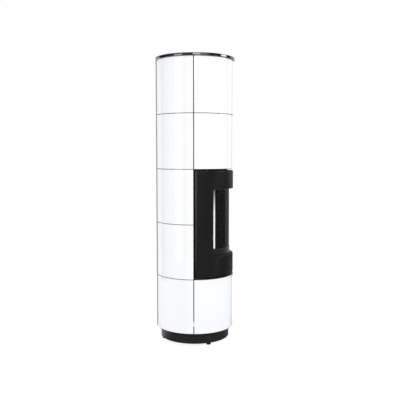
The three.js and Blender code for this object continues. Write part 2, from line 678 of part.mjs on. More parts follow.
// The first storage stone closes the smoke box from above.
function smokeBox() {
  const can = ring(SMOKE_BOX_RADIUS - FLUE_WALL, SMOKE_BOX_RADIUS, drumBottom, SMOKE_TOP);
  return cut(can, rearRod(FLUE_RADIUS + FIT, SMOKE_BOX_RADIUS / 2, TILE_RADIUS, FLUE_HEIGHT));
}

add("smoke_box", smokeBox(), castIron);
add("flue_collar",
  rearPipe(FLUE_RADIUS, FLUE_WALL, SMOKE_BOX_RADIUS - 2 * FLUE_WALL, COLLAR_END, FLUE_HEIGHT), castIron);

for (let i = 0; i < STONES; i += 1) {
  const bottom = SMOKE_TOP + FIT + i * (STONE_HEIGHT + FIT);
  add(`storage_stone_${i + 1}`, disc(BODY_INNER - STONE_SIDE_GAP, bottom, bottom + STONE_HEIGHT), stone);
}

// ---------------------------------------------------------------- door

const LINER_OUTER = DOOR_INNER + DOOR_LINER;
const SHELL_INNER = LINER_OUTER + FIT;

// The window recess as a cutter through the door. A margin makes it larger all round, which
// leaves a wall of that thickness where the shell's hollow stops at it.
function windowCutter(sillRise, margin = 0) {
  const marginAngle = angleOf(margin, DOOR_OUTER);
  const face = {
    radius: DOOR_OUTER,
    edge: WINDOW_EDGE + marginAngle,
    bottom: DOOR_BOTTOM + WINDOW_BOTTOM - margin,
    top: DOOR_TOP - WINDOW_TOP + margin,
  };
  const back = {
    radius: DOOR_INNER,
    edge: WINDOW_INNER_EDGE + marginAngle,
    bottom: face.bottom + sillRise,
    top: face.top - HEAD_DROP,
  };
  // The cutter runs a little past both faces on the same slopes.
  const overrun = 6;
  const share = overrun / (DOOR_OUTER - DOOR_INNER);
  const beyond = (from, to) => Object.fromEntries(
    Object.keys(to).map((key) => [key, to[key] + (to[key] - from[key]) * share]));
  return recess(beyond(back, face), beyond(face, back));
}

// Everything that stays solid inside the shell: the window's walls, hinge blocks and spindle boss.
function doorHollow() {
  const edge = DOOR_EDGE - angleOf(DOOR_SKIN, DOOR_OUTER);
  const hollow = sector(SHELL_INNER - OVERRUN, DOOR_OUTER - DOOR_SKIN, -edge, edge,
    DOOR_BOTTOM + DOOR_SKIN, DOOR_TOP - DOOR_SKIN);
  const hingeBlock = (bottom, top) => sector(SHELL_INNER - 2 * OVERRUN, DOOR_OUTER, -DOOR_EDGE,
    HINGE_ANGLE + angleOf(HINGE_BLOCK, HINGE_RADIUS), bottom, top);
  const blockHeight = HINGE_PIN_LENGTH + HINGE_BORE_SPARE + DOOR_SKIN;
  const boss = swing(radialRod(SPINDLE_BOSS_RADIUS, SHELL_INNER - 2 * OVERRUN, DOOR_OUTER), HANDLE_ANGLE);
  return cut(hollow, windowCutter(SILL_RISE, DOOR_SKIN), boss,
    hingeBlock(DOOR_BOTTOM, DOOR_BOTTOM + blockHeight), hingeBlock(DOOR_TOP - blockHeight, DOOR_TOP));
}

function spindleBore() {
  const bore = radialRod(SPINDLE_RADIUS + SPINDLE_CLEARANCE, DOOR_INNER - DOOR_SKIN, DOOR_OUTER + DOOR_SKIN);
  return swing(bore, HANDLE_ANGLE);
}

function doorFrame() {
  const leaf = sector(SHELL_INNER, DOOR_OUTER, -DOOR_EDGE, DOOR_EDGE, DOOR_BOTTOM, DOOR_TOP);
  const hinge = around(HINGE_RADIUS, HINGE_ANGLE);
  const boreRadius = HINGE_PIN_RADIUS + HINGE_BORE_CLEARANCE;
  const boreDepth = HINGE_PIN_LENGTH + HINGE_BORE_SPARE;
  const lowerBore = rod(boreRadius, DOOR_BOTTOM - OVERRUN, DOOR_BOTTOM + boreDepth);
  const upperBore = rod(boreRadius, DOOR_TOP - boreDepth, DOOR_TOP + OVERRUN);
  return cut(leaf, windowCutter(SILL_RISE), doorHollow(), spindleBore(),
    lowerBore.translate(hinge.x, hinge.y, 0), upperBore.translate(hinge.x, hinge.y, 0));
}

function doorLiner() {
  const sheet = sector(DOOR_INNER, LINER_OUTER, -DOOR_EDGE, DOOR_EDGE, DOOR_BOTTOM, DOOR_TOP);
  return cut(sheet, windowCutter(LINER_SILL_RISE), spindleBore());
}

// A round bar pointing out of the front at the handle's height.
function radialRod(radius, from, to) {
  const geometry = new THREE.CylinderGeometry(radius, radius, to - from, 16);
  return geometry.translate(0, -(from + to) / 2, DOOR_MIDDLE);
}

// A curved picture frame: an outer edge and the opening inside it.
function curvedFrame(inner, outer, edge, holeEdge, bottom, top, holeBottom, holeTop) {
  return cut(sector(inner, outer, -edge, edge, bottom, top),
    sector(inner - OVERRUN, outer + OVERRUN, -holeEdge, holeEdge, holeBottom, holeTop));
}

add("door_frame", doorFrame(), blackPaint);
add("door_liner", doorLiner(), plainSteel);
add("door_glass", sector(GLASS_INNER, GLASS_OUTER, -GLASS_EDGE, GLASS_EDGE, GLASS_BOTTOM, GLASS_TOP),
  ceramicGlass);

const retainerOuter = GLASS_INNER - FIT;
const retainerBottom = GLASS_BOTTOM - RETAINER_LAP;
const retainerTop = GLASS_TOP + RETAINER_LAP;
add("glass_retainer", curvedFrame(retainerOuter - RETAINER_SHEET, retainerOuter, RETAINER_EDGE,
  RETAINER_EDGE - RETAINER_BAND_ANGLE, retainerBottom, retainerTop, retainerBottom + RETAINER_BAND,
  retainerTop - RETAINER_BAND), castIron);

const sealBottom = DOOR_BOTTOM + SEAL_MARGIN;
const sealTop = DOOR_TOP - SEAL_MARGIN;
add("door_seal", curvedFrame(FRAME_OUTER + FIT, DOOR_INNER - FIT, SEAL_EDGE, SEAL_EDGE - SEAL_BAND_ANGLE,
  sealBottom, sealTop, sealBottom + SEAL_BAND, sealTop - SEAL_BAND), sealRope);

// Hinge brackets: a plate from the body into the gap above or below the door, with the pin on it.
function hingeBracket(plateBottom, pinFrom, pinTo) {
  const side = angleOf(HINGE_PLATE_SIDE, HINGE_RADIUS);
  const plate = sector(RING_INNER, DOOR_OUTER - HINGE_PLATE_SETBACK, HINGE_ANGLE - side,
    HINGE_ANGLE + side, plateBottom, plateBottom + HINGE_PLATE);
  const hinge = around(HINGE_RADIUS, HINGE_ANGLE);
  return join(plate, rod(HINGE_PIN_RADIUS, pinFrom, pinTo).translate(hinge.x, hinge.y, 0));
}

const lowerPlate = DOOR_BOTTOM - BODY_RISE - HINGE_PLATE;
const upperPlate = FIREBOX_TOP - HINGE_PLATE;
const lowerPinTop = DOOR_BOTTOM + HINGE_PIN_LENGTH;
const upperPinBottom = DOOR_TOP - HINGE_PIN_LENGTH;
add("hinge_bracket_lower", hingeBracket(lowerPlate, lowerPlate + OVERRUN, lowerPinTop), castIron);
add("hinge_bracket_upper", hingeBracket(upperPlate, upperPinBottom, upperPlate + OVERRUN), castIron);

// ---------------------------------------------------------------- handle and latch

const tongueOuter = DOOR_INNER - TONGUE_SETBACK;
const tongueInner = tongueOuter - TONGUE_THICKNESS;
const barInner = DOOR_OUTER + HANDLE_STANDOFF;
const barOuter = barInner + LEVER_BAR;

function doorHandle() {
  const bar = box([-LEVER_BAR / 2, -barOuter, DOOR_MIDDLE - HANDLE_DROP],
    [LEVER_BAR / 2, -barInner, DOOR_MIDDLE + HANDLE_HEEL]);
  const spindle = radialRod(SPINDLE_RADIUS, tongueOuter + FIT, barInner + LEVER_BAR / 2);
  return swing(join(bar, spindle), HANDLE_ANGLE);
}

function latchTongue() {
  const blade = box([-TONGUE_WIDTH / 2, -tongueOuter, DOOR_MIDDLE - TONGUE_WIDTH / 2],
    [TONGUE_WIDTH / 2, -tongueInner, DOOR_MIDDLE + TONGUE_LENGTH]);
  return swing(blade, HANDLE_ANGLE);
}

function latchKeeper() {
  const bottom = DOOR_MIDDLE - KEEPER_HEIGHT / 2;
  const top = DOOR_MIDDLE + KEEPER_HEIGHT / 2;
  const lipOuter = tongueOuter + KEEPER_CLEARANCE + KEEPER_SHEET;
  const footInner = BODY_RADIUS - KEEPER_BEDDING;
  const foot = box([KEEPER_FOOT_START, -footInner - KEEPER_SHEET, bottom], [KEEPER_WEB, -footInner, top]);
  const web = box([KEEPER_WEB - KEEPER_SHEET, -lipOuter, bottom], [KEEPER_WEB, -footInner, top]);
  const lip = box([KEEPER_LIP_START, -lipOuter, bottom], [KEEPER_WEB, -lipOuter + KEEPER_SHEET, top]);
  return swing(join(foot, web, lip), HANDLE_ANGLE);
}

add("door_handle", doorHandle(), blackPaint);
add("latch_tongue", latchTongue(), castIron);
add("latch_keeper", latchKeeper(), castIron);

export default stove;
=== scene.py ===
# A tall round tiled stove: white glazed tiles, a curved black door with a deep window and a
# charcoal plinth on levelling feet. Metres, +Z up. Angles are degrees round the stove's axis,
# counted from the front (-Y) towards +X.

import math
from collections import namedtuple

import bmesh
import bpy
from mathutils import Matrix, Quaternion, Vector


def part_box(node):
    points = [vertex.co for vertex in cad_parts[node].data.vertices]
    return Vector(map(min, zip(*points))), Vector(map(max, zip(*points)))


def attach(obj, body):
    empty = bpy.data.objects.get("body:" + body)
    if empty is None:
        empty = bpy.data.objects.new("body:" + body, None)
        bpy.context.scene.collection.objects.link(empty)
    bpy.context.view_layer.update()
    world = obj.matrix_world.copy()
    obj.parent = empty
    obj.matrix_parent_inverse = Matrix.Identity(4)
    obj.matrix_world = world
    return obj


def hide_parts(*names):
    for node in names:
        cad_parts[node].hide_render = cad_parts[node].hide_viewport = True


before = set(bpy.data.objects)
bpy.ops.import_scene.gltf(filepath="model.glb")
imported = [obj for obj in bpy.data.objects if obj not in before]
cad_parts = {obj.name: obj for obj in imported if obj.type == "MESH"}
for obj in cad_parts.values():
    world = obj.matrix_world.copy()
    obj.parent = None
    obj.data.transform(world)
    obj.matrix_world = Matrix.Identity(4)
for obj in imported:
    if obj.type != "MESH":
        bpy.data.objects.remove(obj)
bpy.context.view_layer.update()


# -------------------- places round the stove

def mm(value):
    return value * 0.001


def arc(length, radius):
    """The angle that a length takes up round the axis at a radius."""
    return math.degrees(length / radius)


def around(radius, angle, height=0.0):
    a = math.radians(angle)
    return Vector((radius * math.sin(a), -radius * math.cos(a), height))


def spread(low, high, count):
    """Even steps from low towards high, which isn't among them."""
    return [low + (high - low) * i / count for i in range(count)]


# -------------------- sizes that drive the shapes

COLUMN = 72.0                       # each tile column is a fifth of the circle
TILE_RADIUS, TILE_WALL = mm(265), mm(25)
JOINT_HALF = arc(mm(2.25), TILE_RADIUS)
COLUMN_STARTS = {"front_left": -72, "front_right": 0, "left": -144, "right": 72}

TOP_PLATE_RADIUS, BASE_PLATE_RADIUS = mm(273), mm(258)
PLINTH_INNER, PLINTH_OUTER = mm(231), mm(235)

FEET = {"front_left": -45.5, "front_right": 45.5, "rear_left": -146, "rear_right": 146}
FOOT_CIRCLE = mm(216.5)
SOCKET_BORE, SOCKET_RADIUS, SOCKET_LENGTH = mm(6.3), mm(14), mm(34)
SOLE_RADIUS, SOLE_TOP = mm(14.2), mm(3.4)
PAD_RADIUS, PAD_SHOULDER, PAD_NECK, PAD_TOP = mm(15), mm(10.2), mm(12.2), mm(13.7)
STEM_RADIUS, STEM_TOP = mm(4.9), mm(69.7)
THREAD_RADIUS, THREAD_DEPTH, THREAD_PITCH = mm(5.95), mm(0.8), mm(1.75)
THREAD_BOTTOM, THREAD_TOP = mm(15), mm(68.5)

PANEL_SHEET, PANEL_FLANGE_RADIUS = mm(2), mm(241)
FLUE_RADIUS, FLUE_WALL, FLUE_START, FLUE_HEIGHT = mm(75), mm(3), mm(104), mm(1375)
AIR_RADIUS, AIR_WALL, AIR_START, AIR_HEIGHT = mm(50), mm(2), mm(150), mm(200)
PIPE_END, PIPE_GAP = mm(253), mm(1)
GROOVE_DEPTH, GROOVE_FROM_END, GROOVE_HALF, GROOVE_FLOOR_HALF = mm(1.2), mm(22), mm(4), mm(1)

DOOR_RADIUS, DOOR_INNER = mm(264), mm(241.6)
LINER_OUTER, LINER_INNER = mm(241.3), mm(238.3)
DOOR_EDGE = COLUMN - arc(mm(8), DOOR_RADIUS)
DOOR_RIM = (arc(mm(15.5), DOOR_RADIUS), mm(5))    # border at the sides and at the ends
DOOR_RIM_FALL = (mm(6), mm(2.6))                  # how far it falls back there
door_low, door_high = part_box("door_frame")
DOOR_MIDDLE = (door_low.z + door_high.z) / 2
# Each window outline: half angle, rise above the door's foot, drop below its head.
RECESS_FACE = (42.8, mm(133), mm(122))
SHELL_RECESS_BACK = (39.7, mm(147), mm(126))
LINER_RECESS_BACK = (39.7, mm(183), mm(126))
HINGE_RADIUS = mm(252)
HINGE_ANGLE = arc(mm(23.3), HINGE_RADIUS) - DOOR_EDGE
HINGE_BORE, HINGE_BORE_DEPTH = mm(5.4), mm(33)
HANDLE_ANGLE = DOOR_EDGE - arc(mm(24.1), LINER_INNER)
SPINDLE_BORE = mm(7.2)

GLASS_RADIUS, GLASS_WALL, GLASS_EDGE = mm(238), mm(4), 45
RETAINER_OUTER, RETAINER_INNER = mm(233.7), mm(230.3)
RETAINER_EDGE, RETAINER_HOLE, RETAINER_BAND = 47.5, 42.5, mm(22)

SEAL_RADIUS, SEAL_CORNER, SEAL_INSET = mm(232.1), mm(18), mm(5)
SEAL_WALL_RADIUS, SEAL_WALL_EDGE = mm(232), 54
SEAL_EDGE = SEAL_WALL_EDGE - arc(SEAL_INSET, SEAL_WALL_RADIUS)
SEAL_CORNER_ANGLE = arc(SEAL_CORNER, SEAL_WALL_RADIUS)
ROPE_RADIUS, STRAND_RADIUS, STRANDS = mm(5.2), mm(2.3), 5
ROPE_TWISTS, ROPE_POINTS = 84.0, 1100             # along the whole seal

BRICK_RADIUS, BRICK_WALL = mm(217.5), mm(30)
BRICKS = {"right": (72.05, 152.95), "back": (153.05, 206.95), "left": (207.05, 287.95)}
FRONT_FRAME_OUTER, FRONT_FRAME_INNER, FRONT_FRAME_EDGE = mm(226), mm(218), 62.9
FRONT_FRAME_HOLE = (47, mm(566), mm(1106))        # half angle, bottom, top


# -------------------- camera

CAMERA_DISTANCE, CAMERA_ANGLE, CAMERA_HEIGHT = 4.003, -70.5, 1.2667
CAMERA_ASIDE, CAMERA_DIP, CAMERA_ROLL = -0.52, 4.44, -0.02    # how it looks past the axis
CAMERA_LENS, CAMERA_SENSOR = 52.15, 36                        # mm


def set_camera():
    heading = math.radians(CAMERA_ANGLE + CAMERA_ASIDE)
    dip = math.radians(CAMERA_DIP)
    ahead = Vector((-math.sin(heading) * math.cos(dip), math.cos(heading) * math.cos(dip),
                    -math.sin(dip)))
    data = bpy.data.cameras.new("photo_camera")
    data.lens = CAMERA_LENS
    data.sensor_width = CAMERA_SENSOR
    camera = bpy.data.objects.new("photo_camera", data)
    camera.location = around(CAMERA_DISTANCE, CAMERA_ANGLE, CAMERA_HEIGHT)
    camera.rotation_mode = "QUATERNION"
    lean = Quaternion((0, 0, 1), math.radians(CAMERA_ROLL))
    camera.rotation_quaternion = ahead.to_track_quat("-Z", "Y") @ lean
    bpy.context.scene.collection.objects.link(camera)
    bpy.context.scene.camera = camera


set_camera()


# -------------------- words for node trees

class Nodes:
    """Short words for adding nodes to a tree. A value is a constant or another node's output."""

    def __init__(self, tree):
        self.tree = tree

    def plug(self, socket, value):
        if isinstance(value, bpy.types.NodeSocket):
            self.tree.links.new(value, socket)
        else:
            socket.default_value = value

    def add(self, kind, values=None, **settings):
        made = self.tree.nodes.new(kind)
        for key, value in settings.items():
            setattr(made, key, value)
        for key, value in (values or {}).items():
            self.plug(made.inputs[key], value)
        return made

    def first(self, kind, values=None, **settings):
        """The first output of a new node."""
        return self.add(kind, values, **settings).outputs[0]

    def calc(self, operation, a, b=0.0, c=0.0):
        return self.first("ShaderNodeMath", {0: a, 1: b, 2: c}, operation=operation)

    def times(self, a, b):
        return self.calc("MULTIPLY", a, b)

    def most(self, value, *others):
        for other in others:
            value = self.calc("MAXIMUM", value, other)
        return value

    def between(self, value, from_low, from_high, to_low, to_high):
        """Carries one range of values over to another, and holds it at its ends."""
        return self.first("ShaderNodeMapRange", {
            "Value": value, "From Min": from_low, "From Max": from_high,
            "To Min": to_low, "To Max": to_high})

    def vector(self, operation, a, b=(0, 0, 0)):
        return self.first("ShaderNodeVectorMath", {0: a, 1: b}, operation=operation)

    def scaled(self, vector, amount):
        return self.first("ShaderNodeVectorMath", {0: vector, "Scale": amount}, operation="SCALE")

    def toward(self, way, direction):
        """How nearly a way points in a direction, from -1 to 1."""
        return self.add("ShaderNodeVectorMath", {0: way, 1: tuple(direction)},
                        operation="DOT_PRODUCT").outputs["Value"]

    def split(self, vector):
        return self.add("ShaderNodeSeparateXYZ", {"Vector": vector}).outputs

    def joined(self, x, y, z):
        return self.first("ShaderNodeCombineXYZ", {"X": x, "Y": y, "Z": z})


# -------------------- finishes

NOISE_LOW, NOISE_HIGH = 0.3, 0.7    # nearly all of a noise pattern lies between these
NEAR_BLACK = (0.010, 0.010, 0.011)
# How far from a tile's edge the painted shade of the joints is deepest, where its dark band ends,
# and where its grey band ends.
EDGE_SHADE_DEEPEST, DARK_EDGE_SHADE_ENDS, GREY_EDGE_SHADE_ENDS = mm(0.6), mm(1.0), mm(3.2)
RIM_FADE = 0.004                    # radians over which a rubbed rim begins
BRICK_PORES = 190.0                 # pores of the fire brick, to a metre


class Finish(Nodes):
    """A surface in the making, with its patterns laid on the piece's own place."""

    def __init__(self, name, color, roughness, metallic=0.0):
        self.material = bpy.data.materials.new(name)
        self.material.use_nodes = True
        self.material.diffuse_color = (*color, 1)
        super().__init__(self.material.node_tree)
        self.shader = self.tree.nodes["Principled BSDF"]
        self.give({"Base Color": (*color, 1), "Roughness": roughness, "Metallic": metallic})
        self.place = self.add("ShaderNodeTexCoord").outputs["Object"]

    def give(self, values):
        """Sets inputs of the surface, and hands over its material."""
        for label, value in values.items():
            self.plug(self.shader.inputs[label], value)
        return self.material

    def noise(self, scale, detail=2.0, roughness=0.5, stretch=None):
        vector = self.place
        if stretch is not None:
            vector = self.first("ShaderNodeMapping", {"Vector": vector, "Scale": stretch})
        return self.add("ShaderNodeTexNoise", {
            "Vector": vector, "Scale": scale, "Detail": detail, "Roughness": roughness,
        }).outputs["Fac"]

    def ranged(self, pattern, low, high):
        """A noise pattern made to run from low to high."""
        return self.between(pattern, NOISE_LOW, NOISE_HIGH, low, high)

    def mottle(self, low, high, scale, detail=2.0):
        return self.ranged(self.noise(scale, detail), low, high)

    def patches(self, first, second, scale, detail, start=NOISE_LOW, full=NOISE_HIGH, share=1.0):
        """A color with patches of a second one, from where noise passes start to where it is
        full and the second color has its whole share."""
        spread_out = self.between(self.noise(scale, detail), start, full, 0.0, share)
        return self.blend(spread_out, first, second)

    def cells(self, scale, output="Distance"):
        return self.add("ShaderNodeTexVoronoi", {"Vector": self.place, "Scale": scale},
                        feature="F1").outputs[output]

    def cell_tone(self, scale, channel):
        """An even random level for each cell."""
        color = self.cells(scale, "Color")
        return self.add("ShaderNodeSeparateColor", {"Color": color}).outputs[channel]

    def attribute(self, name):
        return self.add("ShaderNodeAttribute", attribute_name=name).outputs["Fac"]

    def blend(self, share, first, second):
        made = self.add("ShaderNodeMix", data_type="RGBA")
        self.plug(made.inputs["Factor"], share)
        for socket, color in ((made.inputs[6], first), (made.inputs[7], second)):
            is_constant = not isinstance(color, bpy.types.NodeSocket)
            self.plug(socket, (*color, 1) if is_constant else color)
        return made.outputs[2]

    def relief(self, height, depth, below=None):
        values = {"Height": height, "Distance": depth, "Strength": 1.0}
        if below is not None:
            values["Normal"] = below
        bump = self.first("ShaderNodeBump", values)
        self.give({"Normal": bump})
        return bump


def tile_glaze():
    """White glaze: soft waves, fine peel and a few pinholes, with painted shade of the joints:
    greyer over the last few millimetres to a tile's edge, and dark on the very edge."""
    glaze = Finish("white_tile_glaze", (0.86, 0.87, 0.89), 0.06)
    edge = glaze.calc("MINIMUM", glaze.attribute("from_side"), glaze.attribute("from_bed"))
    clouds = glaze.calc("ADD", glaze.mottle(0.0, 0.35, 5.0, 3.0), glaze.attribute("firing_tone"))
    shade = glaze.blend(clouds, (0.862, 0.870, 0.888), (0.838, 0.848, 0.872))
    pinhole = glaze.between(glaze.cells(70.0), 0.030, 0.045, 0.35, 0.0)
    shade = glaze.blend(pinhole, shade, (0.58, 0.57, 0.56))
    # Painted shade of the joints: the glaze goes greyer towards a tile's edge.
    grey_edge_shade = glaze.between(edge, EDGE_SHADE_DEEPEST, GREY_EDGE_SHADE_ENDS, 1.0, 0.0)
    shade = glaze.blend(glaze.times(grey_edge_shade, 0.40), shade, (0.74, 0.74, 0.73))
    # Painted shade of the joints: a dark, slightly ragged band on the very edge of each tile.
    ragged = glaze.calc("ADD", edge, glaze.mottle(mm(-0.2), mm(0.2), 160.0))
    dark_edge_shade = glaze.between(ragged, EDGE_SHADE_DEEPEST, DARK_EDGE_SHADE_ENDS, 1.0, 0.0)
    waves = glaze.relief(glaze.noise(10.0, 1.5), mm(0.35))
    glaze.relief(glaze.noise(260.0, 1.0), mm(0.012), waves)
    return glaze.give({
        "Base Color": glaze.blend(dark_edge_shade, shade, (0.16, 0.145, 0.13)),
        "Roughness": glaze.mottle(0.045, 0.085, 38.0),
        "Coat Weight": 0.25, "Coat Roughness": 0.03})


def spacer_plastic():
    """White moulded spacer: fine moulding grain, a little uneven in sheen."""
    plastic = Finish("white_spacer", (0.88, 0.88, 0.88), 0.32)
    tone = plastic.noise(90.0, 3.0)
    plastic.relief(plastic.noise(1200.0), mm(0.01))
    return plastic.give({
        "Base Color": plastic.blend(tone, (0.90, 0.90, 0.90), (0.86, 0.86, 0.86)),
        "Roughness": plastic.ranged(tone, 0.26, 0.40)})


def stove_paint(name, color, roughness, grain=1.0, sheen=0.36, rim=None):
    """Satin heat-proof paint: fine powder grain, slightly uneven sheen and worn, paler high
    spots. A rim (half angle, breadth, roughness) is where hands have rubbed the upright edges
    smooth."""
    paint = Finish(name, color, roughness)
    fine = paint.noise(1400.0)
    worn_color = tuple(c * 1.5 + 0.002 for c in color)
    fleck = paint.times(paint.between(fine, 0.45, 0.75, 0.0, 1.0), 0.45)
    shade = paint.blend(fleck, color, worn_color)
    uneven = paint.mottle(roughness - 0.05, roughness + 0.06, 45.0, 3.0)
    if rim is not None:
        edge, breadth, rubbed = rim
        rim_start = math.radians(edge - breadth)
        spot = paint.split(paint.place)
        turn = paint.calc("ARCTAN2", paint.calc("ABSOLUTE", spot["X"]),
                          paint.times(spot["Y"], -1.0))
        on_rim = paint.between(turn, rim_start - RIM_FADE, rim_start, 0.0, 1.0)
        uneven = paint.calc("MULTIPLY_ADD", on_rim, rubbed - roughness, uneven)
    orange_peel = paint.relief(paint.noise(420.0, 1.0), mm(0.03 * grain))
    paint.relief(fine, mm(0.015 * grain), orange_peel)
    return paint.give({
        "Base Color": paint.patches(shade, worn_color, 14.0, 3.0, 0.35, 0.7, 0.22),
        "Roughness": uneven, "Specular IOR Level": sheen})


def gloss_enamel():
    """Deep black gloss of the top plate: a clear coat over black with a faint peel and dust."""
    enamel = Finish("black_gloss_enamel", NEAR_BLACK, 0.12)
    enamel.relief(enamel.noise(160.0, 1.0), mm(0.012))
    return enamel.give({
        "Base Color": enamel.patches(NEAR_BLACK, (0.05, 0.05, 0.05), 900.0, 2.0, 0.66, 0.80, 0.25),
        "Roughness": enamel.mottle(0.08, 0.16, 30.0, 3.0),
        "IOR": 1.8, "Specular IOR Level": 0.7,
        "Coat Weight": 1.0, "Coat Roughness": 0.09, "Coat IOR": 1.8})


def sheet_paint():
    """Light grey lacquer on the rear sheet, with a fine texture and faint handling marks."""
    lacquer = Finish("grey_sheet_lacquer", (0.26, 0.265, 0.28), 0.55)
    streaks = lacquer.noise(3.0, 4.0, stretch=(60, 60, 3))
    lacquer.relief(lacquer.noise(700.0), mm(0.02))
    return lacquer.give({
        "Base Color": lacquer.patches((0.27, 0.275, 0.29), (0.235, 0.24, 0.255), 7.0, 4.0),
        "Roughness": lacquer.ranged(streaks, 0.48, 0.64)})


def brushed_steel():
    """Plain mill-finish sheet: drawn grain and slight blotches."""
    steel = Finish("plain_mill_steel", (0.36, 0.37, 0.39), 0.42, 1.0)
    grain = steel.noise(4.0, 3.0, stretch=(220, 220, 8))
    steel.relief(grain, mm(0.02))
    return steel.give({
        "Base Color": steel.patches((0.38, 0.39, 0.41), (0.25, 0.25, 0.26), 11.0, 4.0, 0.35),
        "Roughness": steel.ranged(grain, 0.30, 0.55)})


def burnished_steel():
    """The door's inner sheet: heat-darkened steel with a film of ash that shows at a flat angle."""
    steel = Finish("dark_burnished_steel", (0.012, 0.012, 0.013), 0.42)
    grain = steel.noise(3.0, 3.0, stretch=(12, 12, 320))
    steel.relief(grain, mm(0.01))
    return steel.give({
        "Base Color": steel.patches(NEAR_BLACK, (0.017, 0.016, 0.016), 6.0, 3.0),
        "Roughness": steel.ranged(grain, 0.36, 0.48),
        "Specular IOR Level": 0.2, "Sheen Weight": 1.0, "Sheen Roughness": 0.3})


def drum_steel():
    """Scale-blackened steel of the inner drums and rings."""
    steel = Finish("scaled_drum_steel", (0.10, 0.10, 0.105), 0.55, 0.8)
    steel.relief(steel.noise(300.0, 3.0), mm(0.04))
    return steel.give({
        "Base Color": steel.patches((0.105, 0.105, 0.112), (0.060, 0.056, 0.054), 13.0, 5.0, 0.35),
        "Roughness": steel.mottle(0.45, 0.68, 90.0, 3.0)})


def black_iron():
    """Cast iron and heat-proof steel of the fire chamber: sandy skin, grey bloom and soot."""
    iron = Finish("dark_cast_iron", (0.030, 0.030, 0.032), 0.62, 0.35)
    sand = iron.noise(260.0, 4.0, 0.6)
    iron.relief(sand, mm(0.12))
    return iron.give({
        "Base Color": iron.patches((0.028, 0.028, 0.030), (0.085, 0.080, 0.076), 9.0, 5.0,
                                   0.45, 0.75, 0.7),
        "Roughness": iron.ranged(sand, 0.52, 0.78)})


def vermiculite():
    """Buff pressed brick with golden flakes, dark pores and soot that thickens upwards."""
    brick = Finish("buff_fire_brick", (0.50, 0.40, 0.27), 0.93)
    shade = brick.patches((0.52, 0.42, 0.29), (0.40, 0.31, 0.20), 16.0, 5.0)
    flake = brick.between(brick.cell_tone(240.0, "Red"), 0.80, 0.95, 0.0, 0.7)
    shade = brick.blend(flake, shade, (0.72, 0.60, 0.38))
    pores = brick.cells(BRICK_PORES)
    shade = brick.blend(brick.between(pores, 0.10, 0.22, 0.85, 0.0), shade, (0.14, 0.11, 0.08))
    rise = brick.between(brick.split(brick.place)["Z"], 0.56, 1.05, -0.15, 0.55)
    smoke = brick.calc("ADD", rise, brick.mottle(-0.2, 0.35, 6.0, 5.0))
    soot = brick.between(smoke, 0.0, 1.0, 0.05, 0.80)
    rough = brick.relief(brick.noise(320.0, 4.0, 0.7), mm(0.35))
    brick.relief(pores, mm(0.25), rough)
    return brick.give({"Base Color": brick.blend(soot, shade, (0.035, 0.031, 0.028))})


def storage_rock():
    """Cast heat-storage stone: grey matrix with pale and dark grit."""
    stone = Finish("grey_storage_stone", (0.36, 0.35, 0.33), 0.9)
    grit = stone.cell_tone(150.0, "Green")
    shade = stone.blend(stone.noise(8.0, 5.0), (0.40, 0.39, 0.37), (0.28, 0.27, 0.26))
    pale = stone.between(grit, 0.82, 0.92, 0.0, 0.8)
    shade = stone.blend(pale, shade, (0.62, 0.60, 0.56))
    dark = stone.between(grit, 0.06, 0.14, 0.8, 0.0)
    stone.relief(stone.noise(200.0, 4.0), mm(0.3))
    return stone.give({"Base Color": stone.blend(dark, shade, (0.10, 0.10, 0.10))})


def fire_glass():
    """Ceramic window glass: smoky amber tint, a trace of haze and a heat-reflecting coat."""
    glass = Finish("ceramic_window_glass", (0.03, 0.03, 0.03), 0.02)
    return glass.give({
        "Base Color": glass.patches((0.036, 0.035, 0.034), (0.028, 0.027, 0.026), 4.0, 3.0),
        "Roughness": glass.between(glass.noise(12.0, 4.0), 0.3, 0.75, 0.010, 0.035),
        "Transmission Weight": 1.0, "IOR": 1.6,
        "Coat Weight": 1.0, "Coat Roughness": 0.01, "Coat IOR": 3.0})


def glass_fibre_rope():
    """Dark braided rope seal: fuzzy yarns, darker where it has met the hot frame."""
    rope = Finish("rope_seal_yarn", (0.085, 0.085, 0.088), 0.95)
    yarn = rope.noise(1300.0, 3.0)
    shade = rope.blend(yarn, (0.050, 0.050, 0.052), (0.16, 0.16, 0.165))
    rope.relief(yarn, mm(0.15))
    return rope.give({
        "Base Color": rope.patches(shade, (0.055, 0.050, 0.046), 18.0, 4.0, 0.4),
        "Sheen Weight": 0.3, "Sheen Roughness": 0.5})


def foot_rubber():
    """Black soles of the feet, dusty in patches."""
    rubber = Finish("foot_pad_rubber", (0.018, 0.018, 0.018), 0.8)
    rubber.relief(rubber.noise(600.0), mm(0.03))
    return rubber.give({
        "Base Color": rubber.patches((0.016, 0.016, 0.016), (0.07, 0.068, 0.065), 160.0, 4.0,
                                     0.45, 0.8, 0.6)})


def zinc():
    """Zinc-plated stems, threads and latch tongue."""
    plating = Finish("zinc_plated_steel", (0.55, 0.56, 0.58), 0.28, 1.0)
    dull = plating.between(plating.noise(120.0, 4.0), 0.35, 0.7, 0.0, 1.0)
    plating.relief(plating.noise(900.0), mm(0.01))
    return plating.give({
        "Base Color": plating.blend(dull, (0.58, 0.59, 0.61), (0.40, 0.40, 0.40)),
        "Roughness": plating.between(dull, 0.0, 1.0, 0.22, 0.42)})


